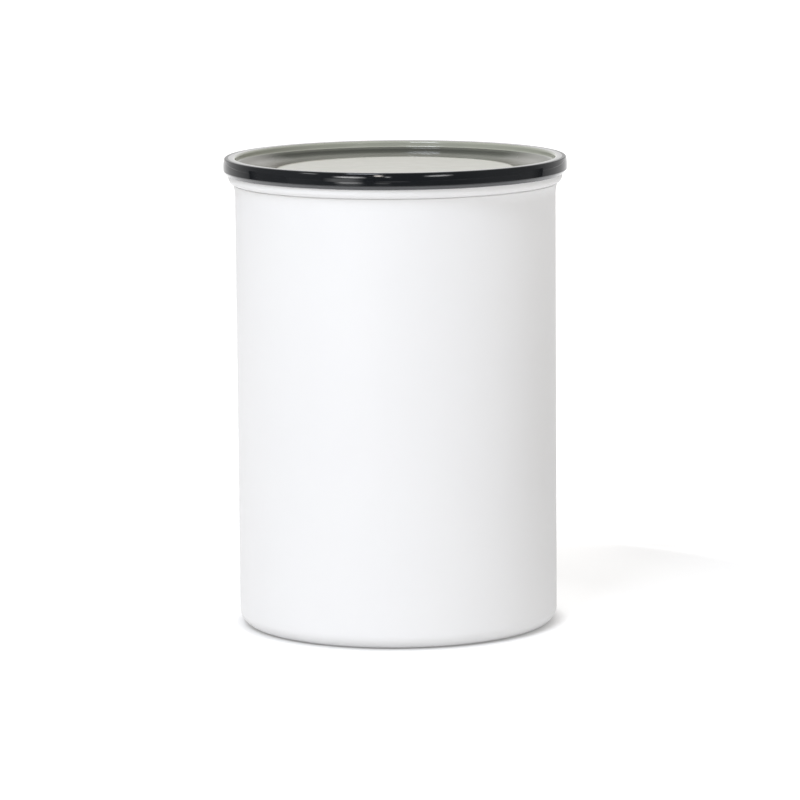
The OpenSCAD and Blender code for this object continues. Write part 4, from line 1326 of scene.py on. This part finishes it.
    def room(self) -> bpy.types.World:
        """The surroundings: white to the camera, even to matt surfaces, brighter at the back to glossy ones."""
        world = bpy.data.worlds.new("studio")
        world.use_nodes = True
        tree = world.node_tree
        tree.nodes.clear()
        new, link = tree.nodes.new, tree.links.new
        output, path, place = new("ShaderNodeOutputWorld"), new("ShaderNodeLightPath"), new("ShaderNodeTexCoord")
        seen, matt, gloss = new("ShaderNodeBackground"), new("ShaderNodeBackground"), new("ShaderNodeBackground")
        seen.inputs["Strength"].default_value = 1.12
        matt.inputs["Strength"].default_value = 0.78
        matt.inputs["Color"].default_value = (1.0, 0.972, 0.945, 1.0)
        link(by_side(tree, place.outputs["Generated"], self.backdrop), gloss.inputs["Color"])
        mixed, last = new("ShaderNodeMixShader"), new("ShaderNodeMixShader")
        link(path.outputs["Is Glossy Ray"], mixed.inputs[0])
        link(matt.outputs[0], mixed.inputs[1])
        link(gloss.outputs[0], mixed.inputs[2])
        link(path.outputs["Is Camera Ray"], last.inputs[0])
        link(mixed.outputs[0], last.inputs[1])
        link(seen.outputs[0], last.inputs[2])
        link(last.outputs[0], output.inputs["Surface"])
        return world

    def flag(self) -> None:
        """A cloth on the floor away from the canister, which only glossy surfaces see, as dim as the room above it."""
        mesh = bpy.data.meshes.new("flag")
        count = 96
        points, faces = [], []
        for i in range(count):
            a = 2 * math.pi * i / count
            points += [(r * math.cos(a), r * math.sin(a), 0.0015) for r in (self.flag_start, 5.5)]
            j = (i + 1) % count
            faces.append((2 * i, 2 * i + 1, 2 * j + 1, 2 * j))
        mesh.from_pydata(points, [], faces)
        flag = bpy.data.objects.new("flag", mesh)
        bpy.context.scene.collection.objects.link(flag)
        sheet = Sheet("flag_cloth")
        sheet.set(Roughness=0.9, Emission_Strength=1.0)
        sheet.feed("Base Color", sheet.by_radius([(share, (grey,) * 3) for share, grey in self.flag_greys], 1.5))
        sheet.feed("Emission Color", by_side(sheet.tree, sheet.level_direction(), self.backdrop))
        mesh.materials.append(sheet.material)
        flag.visible_camera = flag.visible_diffuse = flag.visible_shadow = flag.visible_transmission = False

    def soft_box(self, name: str, left: float, up: float, away: float, size: float, power: float, tint: tuple[float, float, float]) -> None:
        """A square area light that faces the canister.

        Args:
            name: name of the light.
            left: degrees from the front round to the left.
            up: degrees above the canister's lid.
            away: distance in metres.
            size: its side in metres.
            power: its power in watts.
            tint: its colour.
        """
        light = bpy.data.lights.new(name, "AREA")
        light.size = size
        light.energy = power
        light.color = tint
        lamp = bpy.data.objects.new(name, light)
        a, e = math.radians(left), math.radians(up)
        aim = Vector((0.0, 0.0, 0.17))
        away_to = Vector((-math.sin(a) * math.cos(e), -math.cos(a) * math.cos(e), math.sin(e)))
        lamp.location = aim + away * away_to
        lamp.rotation_euler = (-away_to).to_track_quat("-Z", "Y").to_euler()
        bpy.context.scene.collection.objects.link(lamp)

    def camera(self) -> None:
        """The camera, at the photograph's place."""
        data = bpy.data.cameras.new("camera")
        data.lens = self.lens
        data.sensor_width = 36.0
        data.clip_end = 60.0
        camera = bpy.data.objects.new("camera", data)
        turn = Matrix.Rotation(math.pi / 2 - self.pitch, 4, "X") @ Matrix.Rotation(self.roll, 4, "Z")
        camera.matrix_world = Matrix.Translation((self.aside, -self.distance, self.height)) @ turn
        bpy.context.scene.collection.objects.link(camera)
        bpy.context.scene.camera = camera


def main() -> None:
    """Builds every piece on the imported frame."""
    logging.basicConfig(level=logging.INFO, format="%(name)s: %(message)s")
    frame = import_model()
    nodes = frame["nodes"]
    finishes = Finishes()
    lathe = Lathe()
    CanisterShell().build(lathe, finishes)
    SmokeLid().build(lathe, finishes)
    InnerLid().build(lathe, finishes, nodes)
    Studio().build()


if __name__ == "__main__":
    main()
